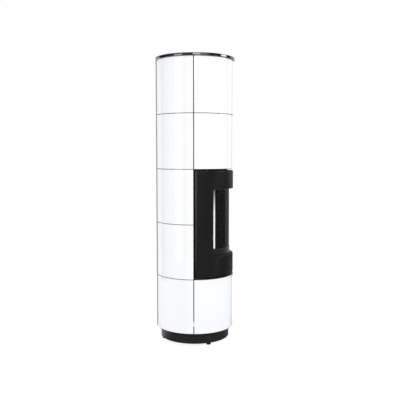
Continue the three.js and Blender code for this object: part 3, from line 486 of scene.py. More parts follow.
GLAZE = tile_glaze()
SPACER = spacer_plastic()
DOOR_PAINT = stove_paint("satin_black_door_paint", (0.0036, 0.0042, 0.0051), 0.43, 1.0, 0.43,
                         rim=(DOOR_EDGE, DOOR_RIM[0], 0.21))
HANDLE_PAINT = stove_paint("satin_black_handle_paint", (0.0062, 0.0062, 0.0066), 0.34, 0.6)
PLINTH_PAINT = stove_paint("satin_charcoal_plinth_paint", (0.0085, 0.0090, 0.0098), 0.30, 1.0, 0.5)
FOOT_PAINT = stove_paint("black_foot_paint", (0.014, 0.014, 0.014), 0.5, 0.6)
ENAMEL = gloss_enamel()
SHEET = sheet_paint()
STEEL = brushed_steel()
IRON = black_iron()
LINER_STEEL = burnished_steel()
DRUM = drum_steel()
BRICK = vermiculite()
ROCK = storage_rock()
GLASS = fire_glass()
ROPE = glass_fibre_rope()
RUBBER = foot_rubber()
ZINC = zinc()


# -------------------- making pieces

def new_piece(name, data):
    piece = bpy.data.objects.new(name, data)
    bpy.context.scene.collection.objects.link(piece)
    return piece


def plain_mesh(piece):
    """What a piece's modifiers make of it."""
    bpy.context.view_layer.update()
    graph = bpy.context.evaluated_depsgraph_get()
    return bpy.data.meshes.new_from_object(piece.evaluated_get(graph))


def settle(piece):
    """Turns a piece with its modifiers into a plain mesh."""
    made = plain_mesh(piece)
    piece.modifiers.clear()
    piece.data = made
    return piece


def round_edges(piece, width, steps=3, angle=30):
    bevel = piece.modifiers.new("rounded_edges", "BEVEL")
    bevel.width = width
    bevel.segments = steps
    bevel.limit_method = "ANGLE"
    bevel.angle_limit = math.radians(angle)
    bevel.use_clamp_overlap = True
    return piece


def even_shading(piece):
    """Keeps broad faces flat in the shading and lets the rounded edges carry the turn."""
    for face in piece.data.polygons:
        face.use_smooth = True
    weigh = piece.modifiers.new("even_shading", "WEIGHTED_NORMAL")
    weigh.keep_sharp = True
    weigh.weight = 60
    return settle(piece)


def smoothed(piece, width, steps=3, angle=30):
    return even_shading(round_edges(piece, width, steps, angle))


def fit(piece, finish, body, slot, node):
    """Gives a finished piece its finish, unless it has one, and its place in the stove."""
    if finish is not None:
        piece.data.materials.clear()
        piece.data.materials.append(finish)
    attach(piece, body)
    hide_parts(node)


def mesh_piece(name, points, faces):
    mesh = bpy.data.meshes.new(name)
    mesh.from_pydata([tuple(p) for p in points], [], faces)
    shape = bmesh.new()
    shape.from_mesh(mesh)
    bmesh.ops.remove_doubles(shape, verts=shape.verts, dist=1e-7)
    bmesh.ops.recalc_face_normals(shape, faces=shape.faces)
    shape.to_mesh(mesh)
    shape.free()
    return new_piece(name, mesh)


def disc_profile(radius, low, high):
    return [(0, low), (radius, low), (radius, high), (0, high)]


def ring_profile(inner, outer, low, high):
    return [(inner, low), (outer, low), (outer, high), (inner, high)]


def turned(name, profile, sides, centre=(0, 0, 0), lie_at=None):
    """A turned piece: a closed profile of (radius, length) spun round an upright axis or, given
    a height to lie at, round one that runs from front to back."""
    points = []
    count = len(profile)
    for i in range(sides):
        a = 2 * math.pi * i / sides
        for radius, along in profile:
            aside, up = radius * math.cos(a), radius * math.sin(a)
            points.append((aside, up, along) if lie_at is None else (aside, along, lie_at + up))
    faces = []
    for i in range(sides):
        j = (i + 1) % sides
        for k in range(count):
            m = (k + 1) % count
            starts_on_axis, ends_on_axis = profile[k][0] == 0, profile[m][0] == 0
            if starts_on_axis and ends_on_axis:
                continue
            quad = [i * count + k, j * count + k, j * count + m, i * count + m]
            if starts_on_axis:
                quad = [quad[0], quad[2], quad[3]]
            elif ends_on_axis:
                quad = quad[:3]
            faces.append(quad)
    piece = mesh_piece(name, points, faces)
    piece.data.transform(Matrix.Translation(centre))
    return piece


Outline = namedtuple("Outline", "radius edge bottom top hole hole_bottom hole_top")


def curved_frame(name, outer, inner, steps=(14, 40, 3, 20), rim=(0, 0), drop=(0, 0)):
    """A curved slab with a window, between the outlines of its outer and its inner face. Edges
    and holes are half angles. The steps are counted along the frame beside the window, along
    the window, up the frame below or above it, and up the window. The rim is a border, in
    degrees and metres, that falls back by the drop at the sides and at the ends."""
    side_steps, hole_steps, band_steps, rise_steps = steps

    def lines(face):
        reach, foot, head = face.edge - rim[0], face.bottom + rim[1], face.top - rim[1]
        angles = [-face.edge] + spread(-reach, -face.hole, side_steps)
        angles += spread(-face.hole, face.hole, hole_steps)
        angles += spread(face.hole, reach, side_steps) + [reach, face.edge]
        heights = [face.bottom] + spread(foot, face.hole_bottom, band_steps)
        heights += spread(face.hole_bottom, face.hole_top, rise_steps)
        heights += spread(face.hole_top, head, band_steps) + [head, face.top]
        return angles, heights

    columns = 2 * side_steps + hole_steps + 3
    rows = 2 * band_steps + rise_steps + 3
    points = []
    for face, falls in ((outer, drop), (inner, (0, 0))):
        angles, heights = lines(face)
        for r, z in enumerate(heights):
            for c, a in enumerate(angles):
                fall = max(falls[0] if c in (0, columns - 1) else 0,
                           falls[1] if r in (0, rows - 1) else 0)
                points.append(around(face.radius - fall, a, z))
    back = columns * rows
    low, high = band_steps + 1, band_steps + 1 + rise_steps
    left, right = side_steps + 1, side_steps + 1 + hole_steps
    faces = []

    def at(row, column):
        return row * columns + column

    def wall(here, there, flip):
        quad = [here, there, back + there, back + here]
        faces.append([quad[i] for i in (0, 3, 2, 1)] if flip else quad)

    for r in range(rows - 1):
        for c in range(columns - 1):
            if not (low <= r < high and left <= c < right):
                quad = [at(r, c), at(r, c + 1), at(r + 1, c + 1), at(r + 1, c)]
                faces.append(quad)
                faces.append([back + i for i in reversed(quad)])
    for c in range(columns - 1):
        wall(at(0, c), at(0, c + 1), True)
        wall(at(rows - 1, c), at(rows - 1, c + 1), False)
        if left <= c < right:
            wall(at(low, c), at(low, c + 1), False)
            wall(at(high, c), at(high, c + 1), True)
    for r in range(rows - 1):
        wall(at(r, 0), at(r + 1, 0), False)
        wall(at(r, columns - 1), at(r + 1, columns - 1), True)
        if low <= r < high:
            wall(at(r, left), at(r + 1, left), True)
            wall(at(r, right), at(r + 1, right), False)
    return mesh_piece(name, points, faces)


def softened(node, width):
    """A copy of a CAD node, its triangles merged, its flat faces whole and its edges rounded."""
    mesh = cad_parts[node].data.copy()
    shape = bmesh.new()
    shape.from_mesh(mesh)
    bmesh.ops.remove_doubles(shape, verts=shape.verts, dist=2e-6)
    bmesh.ops.dissolve_limit(shape, angle_limit=math.radians(1), verts=shape.verts,
                             edges=shape.edges)
    shape.to_mesh(mesh)
    shape.free()
    return smoothed(new_piece(node + "_finished", mesh), width, 2, 35)


def drill(piece, *cutters):
    for cutter in cutters:
        hole = piece.modifiers.new("drilled", "BOOLEAN")
        hole.operation = "DIFFERENCE"
        hole.solver = "EXACT"
        hole.object = cutter
    settle(piece)
    for cutter in cutters:
        bpy.data.objects.remove(cutter)


CUTTER_REACH = (mm(225), mm(275))   # from inside the stove's wall to outside it


def rear_cutter(name, radius, height):
    return turned(name, disc_profile(radius, *CUTTER_REACH), 96, lie_at=height)


def front_cutter(name, radius, height, angle):
    inner, outer = CUTTER_REACH
    cutter = turned(name, disc_profile(radius, -outer, -inner), 40, lie_at=height)
    cutter.data.transform(Matrix.Rotation(math.radians(angle), 4, "Z"))
    return cutter


# -------------------- pieces grown by trees

def start_tree(name, inputs, output):
    """A modifier's tree with named inputs of (label, kind, value), and what it is given."""
    tree = bpy.data.node_groups.new(name, "GeometryNodeTree")
    tree.is_modifier = True
    for label, kind, value in inputs + [("Finish", "Material", None)]:
        socket = tree.interface.new_socket(label, in_out="INPUT", socket_type="NodeSocket" + kind)
        if value is not None:
            socket.default_value = value
    tree.interface.new_socket(output, in_out="OUTPUT", socket_type="NodeSocketGeometry")
    return Nodes(tree), tree.nodes.new("NodeGroupInput").outputs


def end_tree(build, geometry, finish):
    real = build.first("GeometryNodeRealizeInstances", {"Geometry": geometry})
    painted = build.first("GeometryNodeSetMaterial", {"Geometry": real, "Material": finish})
    build.tree.links.new(painted, build.add("NodeGroupOutput").inputs[0])
    return build.tree


def grown(name, tree, values, start=None):
    """The plain piece that a tree makes of what it starts from. The values are those of its
    inputs, by label, that aren't the tree's own."""
    seed = new_piece(name + "_seed", start or bpy.data.meshes.new(name))
    grow = seed.modifiers.new("grown", "NODES")
    grow.node_group = tree
    for item in tree.interface.items_tree:
        if item.in_out == "INPUT" and item.name in values:
            grow[item.identifier] = values[item.name]
    made = plain_mesh(seed)
    bpy.data.objects.remove(seed)
    return new_piece(name, made)


def curved_slab_tree():
    """A slab with rounded edges, bent round the stove's axis. It also stores how far each point
    lies from the slab's sides and beds, for the shade painted darker towards a tile's edge."""
    build, given = start_tree("curved slab", [
        ("Face radius", "Float", TILE_RADIUS), ("Wall", "Float", TILE_WALL),
        ("From angle", "Float", 0.0), ("To angle", "Float", COLUMN), ("Bottom", "Float", 0.0),
        ("Top", "Float", 0.36), ("Rounding", "Float", 0.002), ("Tone", "Float", 0.0),
    ], "Slab")
    calc, vector, times = build.calc, build.vector, build.times

    across, through, upright = 49, 6, 19          # points along each side of the flat block
    rounded_share = (2 / (across - 1), 2 / (through - 1), 2 / (upright - 1))
    flat_share = tuple(0.5 - share for share in rounded_share)
    span = calc("RADIANS", calc("SUBTRACT", given["To angle"], given["From angle"]))
    width = times(span, given["Face radius"])
    height = calc("SUBTRACT", given["Top"], given["Bottom"])
    half = vector("MULTIPLY", build.joined(width, given["Wall"], height), (0.5, 0.5, 0.5))
    edge = build.joined(given["Rounding"], given["Rounding"], given["Rounding"])
    core = vector("SUBTRACT", half, edge)

    # The block's outer rows of points become the rounding, and the rest covers the flat core.
    block = build.add("GeometryNodeMeshCube", {
        "Size": (1, 1, 1), "Vertices X": across, "Vertices Y": through, "Vertices Z": upright})
    place = build.first("GeometryNodeInputPosition")
    sign, far = vector("SIGN", place), vector("ABSOLUTE", place)
    in_core = vector("MINIMUM", vector("DIVIDE", far, flat_share), (1, 1, 1))
    past_core = vector("MAXIMUM", vector("SUBTRACT", far, flat_share), (0, 0, 0))
    turn = vector("DIVIDE", past_core, tuple(s * 4 / math.pi for s in rounded_share))
    beyond = vector("MULTIPLY", vector("TANGENT", turn), edge)
    reach = vector("ADD", vector("MULTIPLY", in_core, core), beyond)
    nearest = vector("MULTIPLY", vector("MINIMUM", reach, core), sign)
    on_box = vector("MULTIPLY", reach, sign)
    outward = vector("NORMALIZE", vector("SUBTRACT", on_box, nearest))
    rounded = vector("ADD", nearest, vector("MULTIPLY", outward, edge))
    stored = build.first("GeometryNodeSetPosition",
                         {"Geometry": block.outputs["Mesh"], "Position": rounded})

    spot = build.split(build.first("GeometryNodeInputPosition"))
    from_side = calc("SUBTRACT", times(width, 0.5), calc("ABSOLUTE", spot["X"]))
    from_bed = calc("SUBTRACT", times(height, 0.5), calc("ABSOLUTE", spot["Z"]))
    for label, value in (("from_side", from_side), ("from_bed", from_bed),
                         ("firing_tone", given["Tone"])):
        stored = build.first("GeometryNodeStoreNamedAttribute",
                             {"Geometry": stored, "Name": label, "Value": value})

    middle = calc("RADIANS", times(calc("ADD", given["From angle"], given["To angle"]), 0.5))
    angle = calc("ADD", middle, calc("DIVIDE", spot["X"], given["Face radius"]))
    mid_wall = calc("MULTIPLY_ADD", given["Wall"], -0.5, given["Face radius"])
    radius = calc("ADD", mid_wall, spot["Y"])
    mid_height = times(calc("ADD", given["Bottom"], given["Top"]), 0.5)
    bent = build.joined(times(radius, calc("SINE", angle)),
                        times(times(radius, calc("COSINE", angle)), -1.0),
                        calc("ADD", spot["Z"], mid_height))
    wrapped = build.first("GeometryNodeSetPosition", {"Geometry": stored, "Position": bent})
    faced = build.first("GeometryNodeFlipFaces", {"Mesh": wrapped})
    smooth = build.first("GeometryNodeSetShadeSmooth", {"Geometry": faced})
    return end_tree(build, smooth, given["Finish"])


SLAB = curved_slab_tree()


def curved_slab(name, face_radius, wall, start, stop, node, rounding, finish, tone=0.0):
    """A curved slab between two angles, as high as a node of the CAD."""
    low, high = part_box(node)
    return even_shading(grown(name, SLAB, {
        "Face radius": face_radius, "Wall": wall, "From angle": start, "To angle": stop,
        "Bottom": low.z, "Top": high.z, "Rounding": rounding, "Tone": tone, "Finish": finish}))


def thread_tree():
    """A screw thread: a ridge that winds up a stem."""
    build, given = start_tree("screw thread", [
        ("Stem radius", "Float", THREAD_RADIUS), ("Thread depth", "Float", THREAD_DEPTH),
        ("Pitch", "Float", THREAD_PITCH), ("Bottom", "Float", THREAD_BOTTOM),
        ("Top", "Float", THREAD_TOP), ("Centre", "Vector", (0, 0, 0)),
    ], "Thread")
    rise = build.calc("SUBTRACT", given["Top"], given["Bottom"])
    line = build.calc("SUBTRACT", given["Stem radius"], given["Thread depth"])
    spiral = build.first("GeometryNodeCurveSpiral", {
        "Resolution": 20, "Rotations": build.calc("DIVIDE", rise, given["Pitch"]),
        "Start Radius": line, "End Radius": line, "Height": rise})
    ridge = build.add("GeometryNodeCurvePrimitiveCircle",
                      {"Resolution": 4, "Radius": given["Thread depth"]}, mode="RADIUS")
    swept = build.first("GeometryNodeCurveToMesh", {
        "Curve": spiral, "Profile Curve": ridge.outputs["Curve"], "Fill Caps": True})
    place = build.vector("ADD", given["Centre"], build.joined(0.0, 0.0, given["Bottom"]))
    moved = build.first("GeometryNodeTransform", {"Geometry": swept, "Translation": place})
    return end_tree(build, moved, given["Finish"])


def rope_tree():
    """A rope of twisted strands along a closed path."""
    build, given = start_tree("rope of strands", [
        ("Path", "Geometry", None), ("Rope radius", "Float", ROPE_RADIUS),
        ("Strand radius", "Float", STRAND_RADIUS), ("Strands", "Int", STRANDS),
        ("Twists", "Float", ROPE_TWISTS), ("Points", "Int", ROPE_POINTS),
    ], "Rope")
    calc, vector = build.calc, build.vector
    line = build.first("GeometryNodeResampleCurve",
                       {"Curve": given["Path"], "Count": given["Points"]})
    copies = build.add("GeometryNodeDuplicateElements",
                       {"Geometry": line, "Amount": given["Strands"]}, domain="SPLINE")
    along = build.add("GeometryNodeSplineParameter").outputs["Factor"]
    tangent = build.first("GeometryNodeInputTangent")
    place = build.first("GeometryNodeInputPosition")
    radial = vector("NORMALIZE", vector("MULTIPLY", place, (1, 1, 0)))
    across = vector("NORMALIZE", vector("CROSS_PRODUCT", tangent, radial))
    phase = calc("DIVIDE", copies.outputs["Duplicate Index"], given["Strands"])
    turn = build.times(calc("MULTIPLY_ADD", along, given["Twists"], phase), 2 * math.pi)
    core = calc("SUBTRACT", given["Rope radius"], given["Strand radius"])
    out = build.scaled(radial, build.times(core, calc("COSINE", turn)))
    aside = build.scaled(across, build.times(core, calc("SINE", turn)))
    wound = build.first("GeometryNodeSetPosition", {
        "Geometry": copies.outputs["Geometry"], "Offset": vector("ADD", out, aside)})
    strand = build.add("GeometryNodeCurvePrimitiveCircle",
                       {"Resolution": 7, "Radius": given["Strand radius"]}, mode="RADIUS")
    swept = build.first("GeometryNodeCurveToMesh",
                        {"Curve": wound, "Profile Curve": strand.outputs["Curve"]})
    smooth = build.first("GeometryNodeSetShadeSmooth", {"Geometry": swept})
    return end_tree(build, smooth, given["Finish"])


# -------------------- tiles

TONES, TONE_SPREAD = 9, 0.3         # steps of shade from the kiln, and how far they go
SPACER_PLAY, SPACER_FACE, SPACER_DEPTH = mm(0.12), mm(264.7), mm(13.7)


def make_tiles():
    for node in sorted(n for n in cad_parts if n.startswith("tile_")):
        column, course = node.removeprefix("tile_").rsplit("_", 1)
        start = COLUMN_STARTS[column]
        tone = ((len(column) * 7 + int(course) * 5) % TONES) / TONES * TONE_SPREAD
        tile = curved_slab(node + "_glazed", TILE_RADIUS, TILE_WALL, start + JOINT_HALF,
                           start + COLUMN - JOINT_HALF, node, mm(1.6), GLAZE, tone)
        fit(tile, None, "stove", "white_glaze", node)


def make_joint_spacer():
    half = JOINT_HALF - arc(SPACER_PLAY, TILE_RADIUS)
    spacer = curved_slab("joint_spacer_moulded", SPACER_FACE, SPACER_DEPTH, -COLUMN - half,
                         -COLUMN + half, "joint_spacer", mm(0.3), SPACER)
    fit(spacer, None, "stove", "white_glaze", "joint_spacer")


make_tiles()
make_joint_spacer()


# -------------------- plates, plinth and feet

ROUND_SIDES = 180                   # facets round the plates and the plinth


def make_round_plates():
    low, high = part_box("top_plate")
    profile = disc_profile(TOP_PLATE_RADIUS, low.z, high.z)
    plate = smoothed(turned("top_plate_enamelled", profile, ROUND_SIDES), mm(4), 5)
    fit(plate, ENAMEL, "stove", "black_gloss", "top_plate")

    low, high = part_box("base_plate")
    profile = disc_profile(BASE_PLATE_RADIUS, low.z, high.z)
    plate = smoothed(turned("base_plate_painted", profile, ROUND_SIDES), mm(1))
    fit(plate, PLINTH_PAINT, "stove", "plain_steel", "base_plate")


def make_plinth():
    low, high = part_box("plinth")
    profile = ring_profile(PLINTH_INNER, PLINTH_OUTER, low.z, high.z)
    drum = smoothed(turned("plinth_drum", profile, ROUND_SIDES), mm(1.2))
    fit(drum, PLINTH_PAINT, "stove", "charcoal_paint", "plinth")
    profile = ring_profile(SOCKET_BORE, SOCKET_RADIUS, low.z, low.z + SOCKET_LENGTH)
    for place, angle in FEET.items():
        socket = turned("plinth_socket_" + place, profile, 40, around(FOOT_CIRCLE, angle))
        fit(smoothed(socket, mm(1)), PLINTH_PAINT, "stove", "charcoal_paint", "plinth")


def make_feet():
    thread = thread_tree()
    pad_profile = [(0, SOLE_TOP), (PAD_RADIUS, SOLE_TOP), (PAD_RADIUS, PAD_SHOULDER),
                   (PAD_NECK, PAD_TOP), (0, PAD_TOP)]
    for place, angle in FEET.items():
        node = "levelling_foot_" + place
        body = "foot_" + place
        centre = around(FOOT_CIRCLE, angle)
        sole = turned(node + "_rubber", disc_profile(SOLE_RADIUS, 0, SOLE_TOP), 48, centre)
        fit(smoothed(sole, mm(0.8)), RUBBER, body, "foot_steel", node)
        pad = turned(node + "_pad", pad_profile, 48, centre)
        fit(smoothed(pad, mm(0.7), 2, 20), FOOT_PAINT, body, "foot_steel", node)
        stem = turned(node + "_stem", disc_profile(STEM_RADIUS, PAD_TOP, STEM_TOP), 32, centre)
        fit(smoothed(stem, mm(0.6), 2), ZINC, body, "foot_steel", node)
        ridge = grown(node + "_thread", thread, {"Centre": tuple(centre), "Finish": ZINC})
        fit(ridge, None, body, "foot_steel", node)


make_round_plates()
make_plinth()
make_feet()


# -------------------- back panel, pipes

def make_back_panel():
    low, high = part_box("back_panel")
    start, stop = 2 * COLUMN + JOINT_HALF, 3 * COLUMN - JOINT_HALF
    steps, rises = 48, 36
    sheet = arc(PANEL_SHEET, TILE_RADIUS)
    # The section of the folded sheet, from one flange round to the other and back inside.
    section = [around(TILE_RADIUS, a) for a in spread(start, stop, steps) + [stop]]
    section += [around(PANEL_FLANGE_RADIUS, a) for a in (stop, stop - sheet)]
    inside = spread(stop - sheet, start + sheet, steps) + [start + sheet]
    section += [around(TILE_RADIUS - PANEL_SHEET, a) for a in inside]
    section += [around(PANEL_FLANGE_RADIUS, a) for a in (start + sheet, start)]
    count = len(section)
    points = [Vector((p.x, p.y, z)) for z in spread(low.z, high.z, rises) + [high.z]
              for p in section]
    faces = []
    for r in range(rises):
        for k in range(count):
            m = (k + 1) % count
            faces.append([r * count + k, r * count + m, (r + 1) * count + m, (r + 1) * count + k])
    # Both ends of the sheet: the curved wall, then the two flanges.
    inner = list(range(steps + 3, 2 * steps + 4))
    caps = [[i, inner[steps - i], inner[steps - i - 1], i + 1] for i in range(steps)]
    caps.append([steps, steps + 1, steps + 2, inner[0]])
    caps.append([0, inner[steps], 2 * steps + 4, 2 * steps + 5])
    faces += caps
    faces += [[rises * count + i for i in reversed(cap)] for cap in caps]
    panel = mesh_piece("back_panel_lacquered", points, faces)
    drill(panel, rear_cutter("flue_cutter", FLUE_RADIUS + PIPE_GAP, FLUE_HEIGHT),
          rear_cutter("air_cutter", AIR_RADIUS + PIPE_GAP, AIR_HEIGHT))
    fit(smoothed(panel, mm(0.5), 2), SHEET, "stove", "grey_sheet", "back_panel")


def rear_pipe(node, radius, wall, start, height, finish, slot):
    """A rear pipe with a rolled groove near its end and a rounded lip."""
    inner = radius - wall
    groove = PIPE_END - GROOVE_FROM_END

    def wall_line(rest, floor):
        return [(rest, groove - GROOVE_HALF), (floor, groove - GROOVE_FLOOR_HALF),
                (floor, groove + GROOVE_FLOOR_HALF), (rest, groove + GROOVE_HALF)]

    profile = [(inner, start), (radius, start)] + wall_line(radius, radius - GROOVE_DEPTH)
    profile += [(radius, PIPE_END), (inner, PIPE_END)]
    profile += reversed(wall_line(inner, inner - GROOVE_DEPTH))
    pipe = turned(node + "_rolled", profile, 96, lie_at=height)
    fit(smoothed(pipe, mm(0.6), 2, 25), finish, "stove", slot, node)


make_back_panel()
rear_pipe("flue_collar", FLUE_RADIUS, FLUE_WALL, FLUE_START, FLUE_HEIGHT, IRON, "cast_iron")
rear_pipe("air_spigot", AIR_RADIUS, AIR_WALL, AIR_START, AIR_HEIGHT, STEEL, "plain_steel")


# -------------------- door

def door_face(radius, recess_back):
    """The door's outline and its window at a radius, for the slopes of the recess."""
    share = (DOOR_RADIUS - radius) / (DOOR_RADIUS - LINER_INNER)
    hole, rise, drop = (f + (b - f) * share for f, b in zip(RECESS_FACE, recess_back))
    return Outline(radius, DOOR_EDGE, door_low.z, door_high.z, hole, door_low.z + rise,
                   door_high.z - drop)


def make_door():
    shell = curved_frame("door_shell", door_face(DOOR_RADIUS, SHELL_RECESS_BACK),
                         door_face(DOOR_INNER, SHELL_RECESS_BACK), rim=DOOR_RIM,
                         drop=DOOR_RIM_FALL)
    settle(round_edges(shell, mm(2.2), 4, 15))
    hinge = around(HINGE_RADIUS, HINGE_ANGLE)
    play = mm(3)
    cutters = []
    for name, low, high in (("lower_bore", door_low.z - play, door_low.z + HINGE_BORE_DEPTH),
                            ("upper_bore", door_high.z - HINGE_BORE_DEPTH, door_high.z + play)):
        cutters.append(turned(name, disc_profile(HINGE_BORE, low, high), 48, hinge))
    cutters.append(front_cutter("spindle_bore", SPINDLE_BORE, DOOR_MIDDLE, HANDLE_ANGLE))
    drill(shell, *cutters)
    fit(even_shading(shell), DOOR_PAINT, "door", "black_paint", "door_frame")

    liner = curved_frame("door_liner_sheet", door_face(LINER_OUTER, LINER_RECESS_BACK),
                         door_face(LINER_INNER, LINER_RECESS_BACK))
    settle(round_edges(liner, mm(0.6), 2))
    drill(liner, front_cutter("liner_bore", SPINDLE_BORE, DOOR_MIDDLE, HANDLE_ANGLE))
    fit(even_shading(liner), LINER_STEEL, "door", "plain_steel", "door_liner")


def make_window():
    pane = curved_slab("door_glass_pane", GLASS_RADIUS, GLASS_WALL, -GLASS_EDGE, GLASS_EDGE,
                       "door_glass", mm(0.8), GLASS)
    fit(pane, None, "door", "door_glass", "door_glass")

    low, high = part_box("glass_retainer")
    face = Outline(RETAINER_OUTER, RETAINER_EDGE, low.z, high.z, RETAINER_HOLE,
                   low.z + RETAINER_BAND, high.z - RETAINER_BAND)
    retainer = curved_frame("glass_retainer_frame", face, face._replace(radius=RETAINER_INNER),
                            (3, 40, 2, 16))
    fit(smoothed(retainer, mm(0.8), 2), IRON, "door", "cast_iron", "glass_retainer")


def seal_path():
    """The middle line of the rope: a rectangle with round corners, bent round the axis."""
    low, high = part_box("door_seal")
    ends = {-1: low.z + SEAL_INSET, 1: high.z - SEAL_INSET}
    path = []
    for side, end, first in ((-1, -1, 180), (1, -1, 270), (1, 1, 0), (-1, 1, 90)):
        angle = side * (SEAL_EDGE - SEAL_CORNER_ANGLE)
        height = ends[end] - end * SEAL_CORNER
        for a in spread(first, first + 90, 8) + [first + 90]:
            bend = math.radians(a)
            path.append(around(SEAL_RADIUS, angle + SEAL_CORNER_ANGLE * math.cos(bend),
                               height + SEAL_CORNER * math.sin(bend)))
        if side == end:                           # a curved run along the bottom or the top
            path += [around(SEAL_RADIUS, a, ends[end]) for a in spread(angle, -angle, 40)[1:]]
    return path


def make_seal():
    path = seal_path()
    curve = bpy.data.curves.new("seal_path", "CURVE")
    curve.dimensions = "3D"
    spline = curve.splines.new("POLY")
    spline.points.add(len(path) - 1)
    for point, place in zip(spline.points, path):
        point.co = (*place, 1)
    spline.use_cyclic_u = True
    seal = grown("door_seal_rope", rope_tree(), {"Finish": ROPE}, curve)
    fit(seal, None, "door", "seal_rope", "door_seal")


make_door()
make_window()
make_seal()


# -------------------- fire chamber

def make_bricks():
    for side, (start, stop) in BRICKS.items():
        node = "fire_brick_" + side
        brick = curved_slab(node + "_pressed", BRICK_RADIUS, BRICK_WALL, start, stop, node,
                            mm(2.2), BRICK)
        fit(brick, None, "stove", "fire_brick", node)


def make_front_frame():
    low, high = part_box("front_frame")
    face = Outline(FRONT_FRAME_OUTER, FRONT_FRAME_EDGE, low.z, high.z, *FRONT_FRAME_HOLE)
    plate = curved_frame("front_frame_plate", face, face._replace(radius=FRONT_FRAME_INNER),
                         (8, 40, 4, 20))
    fit(smoothed(plate, mm(1.2), 2), IRON, "stove", "cast_iron", "front_frame")


SOFTENED = [
    # node, edge rounding in mm, finish, body, slot
    ("baffle", 2.0, BRICK, "stove", "fire_brick"),
    ("hearth_stone", 2.0, BRICK, "stove", "fire_brick"),
    ("grate", 1.5, IRON, "grate", "cast_iron"),
    ("ash_shaft", 0.5, STEEL, "stove", "plain_steel"),
    ("ash_box", 0.5, STEEL, "stove", "plain_steel"),
    ("valve_plate", 0.6, IRON, "stove", "cast_iron"),
    ("air_valve", 0.9, STEEL, "air_lever", "plain_steel"),
    ("spacer_ring", 0.6, STEEL, "stove", "plain_steel"),
    ("storage_stone_1", 3.0, ROCK, "stove", "storage_stone"),
    ("storage_stone_2", 3.0, ROCK, "stove", "storage_stone"),
    ("hinge_bracket_lower", 0.6, IRON, "stove", "cast_iron"),
    ("hinge_bracket_upper", 0.6, IRON, "stove", "cast_iron"),
    ("door_handle", 2.6, HANDLE_PAINT, "handle", "handle_paint"),
    ("latch_tongue", 0.8, ZINC, "handle", "cast_iron"),
    ("latch_keeper", 0.5, IRON, "stove", "cast_iron"),
]
KEPT = [
    (DRUM, ["carrier_ring_1", "carrier_ring_2", "carrier_ring_3", "carrier_ring_4",
            "lower_drum", "upper_drum"]),
    (IRON, ["firebox_body", "firebox_ceiling", "smoke_box"]),
]


def finish_cad_nodes():
    """Rounds the edges of copies of some nodes, and gives a finish to those that stay."""
    for node, rounding, finish, body, slot in SOFTENED:
        fit(softened(node, mm(rounding)), finish, body, slot, node)
    for finish, nodes in KEPT:
        for node in nodes:
            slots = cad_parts[node].data.materials
            slots.clear()
            slots.append(finish)


make_bricks()
make_front_frame()
finish_cad_nodes()


# -------------------- studio

REAR_RIGHT = 135                    # the angle that lies behind the stove, seen by the camera
FLOOR_RADIUS, FLOOR_WALL = 2.1, 0.02
FLOOR_NEAR, FLOOR_FAR, PAINTED_FLOOR_SHADE = 0.25, 0.9, 0.86   # where the shade painted round the stove's foot ends, and how dark it is
FLOOR_BOUNCE, FLOOR_MIRRORED = 0.77, 0.70              # its levels in diffuse and glossy light
FADED_LAMP, UNLIT_ROOM = 0.04, 0.02
# Where the white walls end, as heights of the way that a mirrored ray leaves in.
WALL_FOOT, WALL_HEAD = (-0.045, -0.02), (0.155, 0.172)
ABOVE_WALLS = 0.2


def set_floor():
    """White for the camera, with painted shade round the stove's foot; towards the rear right it
    also mirrors in the tiles' feet.
    """
    floor = turned("studio_floor", disc_profile(FLOOR_RADIUS, 0, -FLOOR_WALL), 96)
    pale = Finish("pale_studio_floor", (0.24, 0.24, 0.24), 0.8)
    pale.give({"Specular IOR Level": 0.1})
    rays = pale.add("ShaderNodeLightPath").outputs
    away = pale.add("ShaderNodeVectorMath", {0: pale.place}, operation="LENGTH").outputs["Value"]
    behind = pale.toward(pale.vector("NORMALIZE", pale.place), around(1, REAR_RIGHT))
    mirrored = pale.between(behind, -0.1, 0.45, 0.0, FLOOR_MIRRORED)
    seen = pale.most(rays["Is Camera Ray"], rays["Is Transmission Ray"],
                     pale.times(rays["Is Diffuse Ray"], FLOOR_BOUNCE),
                     pale.times(rays["Is Glossy Ray"], mirrored))
    # Painted shade: the floor's glow is dimmer near the stove's foot and rises to full away from
    # it.
    shade = pale.between(away, FLOOR_NEAR, FLOOR_FAR, PAINTED_FLOOR_SHADE, 1.0)
    glow = pale.first("ShaderNodeEmission", {
        "Color": (1, 1, 1, 1), "Strength": pale.times(seen, shade)})
    both = pale.first("ShaderNodeAddShader", {0: pale.shader.outputs[0], 1: glow})
    pale.tree.links.new(both, pale.tree.nodes["Material Output"].inputs["Surface"])
    floor.data.materials.append(pale.material)


def softbox(name, angle, distance, centre, width, height, level, aim=None, fade=None):
    """A soft lamp of an even level, standing at an angle round the stove and facing its axis at
    the height of its aim. A fade (from, to) is where its level falls off towards its top, as
    shares of its height."""
    data = bpy.data.lights.new(name, "AREA")
    data.shape = "RECTANGLE"
    data.size = width
    data.size_y = height
    data.energy = level * math.pi * width * height
    if fade is not None:
        data.use_nodes = True
        glow = Nodes(data.node_tree)
        rise = glow.split(glow.add("ShaderNodeNewGeometry").outputs["Parametric"])["Y"]
        glow.plug(data.node_tree.nodes["Emission"].inputs["Strength"],
                  glow.between(rise, *fade, 1.0, FADED_LAMP))
    lamp = new_piece(name, data)
    lamp.location = around(distance, angle, centre)
    target = Vector((0, 0, centre if aim is None else aim))
    lamp.rotation_mode = "QUATERNION"
    lamp.rotation_quaternion = (target - lamp.location).to_track_quat("-Z", "Y")


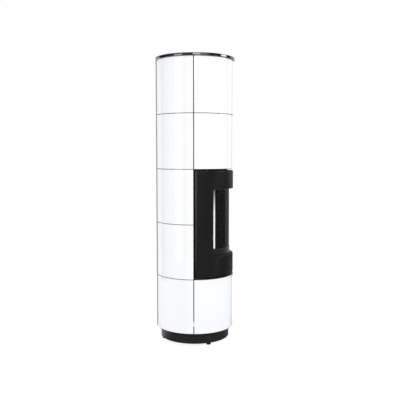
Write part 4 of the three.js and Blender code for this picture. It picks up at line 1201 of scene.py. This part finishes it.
def set_lights():
    softbox("door_strip", -7.3, 3.0, 0.5445, 0.49, 0.711, 3.1, fade=(0.60, 0.98))
    softbox("front_key", 17, 3.6, 2.4, 1.2, 1.4, 3.9, aim=1.0)
    softbox("camera_key", -66, 3.7, 2.75, 1.3, 1.2, 1.8, aim=1.2)
    softbox("side_key", -115.5, 3.2, 1.575, 1.3, 1.67, 2.3)
    softbox("side_key_low", -115.5, 3.2, 0.37, 1.3, 0.72, 1.25)
    softbox("rear_fill", 130, 3.6, 2.2, 1.8, 2.0, 0.8, aim=1.0)


def set_world():
    """White for what the camera sees; in reflections a white backdrop behind, a grey wall to the
    right of it, a pale ceiling, and a dark room in front."""
    world = bpy.data.worlds.new("white_studio")
    world.use_nodes = True
    world.node_tree.nodes.clear()
    studio = Nodes(world.node_tree)
    way = studio.add("ShaderNodeTexCoord").outputs["Generated"]
    up = studio.split(way)["Z"]

    def patch(angle, low, high, level, rise=0.0):
        """A bright patch at an angle and a rise, from where it fades in to where it is full."""
        middle = around(1, angle, rise).normalized()
        return studio.between(studio.toward(way, middle), low, high, 0.0, level)

    below_head = studio.between(up, *WALL_HEAD, 1.0, ABOVE_WALLS)
    above_foot = studio.between(up, *WALL_FOOT, 0.0, 1.0)
    side_wall = studio.times(patch(100, 0.57, 0.72, 1.0), above_foot)
    mirrored = studio.most(
        studio.times(patch(REAR_RIGHT, 0.78, 0.80, 1.0), below_head),    # backdrop
        studio.times(side_wall, below_head),
        patch(90, 0.755, 0.775, 0.095),                                  # foot of the side wall
        patch(-95, 0.05, 1.0, 0.12),                                     # room on the left
        studio.between(up, 0.25, 0.75, 0.0, 0.25),                       # ceiling
        patch(-85, 0.82, 0.97, 1.7, 1.2), patch(-50, 0.90, 0.99, 0.8, 0.35),
        UNLIT_ROOM)
    room = studio.calc("ADD", patch(-20, -1.0, 1.0, 0.51), 0.675)
    rays = studio.add("ShaderNodeLightPath").outputs
    level = studio.most(rays["Is Camera Ray"], rays["Is Transmission Ray"],
                        studio.times(rays["Is Glossy Ray"], mirrored),
                        studio.times(rays["Is Diffuse Ray"], room))
    light = studio.first("ShaderNodeBackground", {"Color": (1, 1, 1, 1), "Strength": level})
    leave = studio.add("ShaderNodeOutputWorld")
    studio.tree.links.new(light, leave.inputs["Surface"])
    bpy.context.scene.world = world


set_floor()
set_lights()
set_world()
bpy.context.scene.view_settings.view_transform = "Standard"
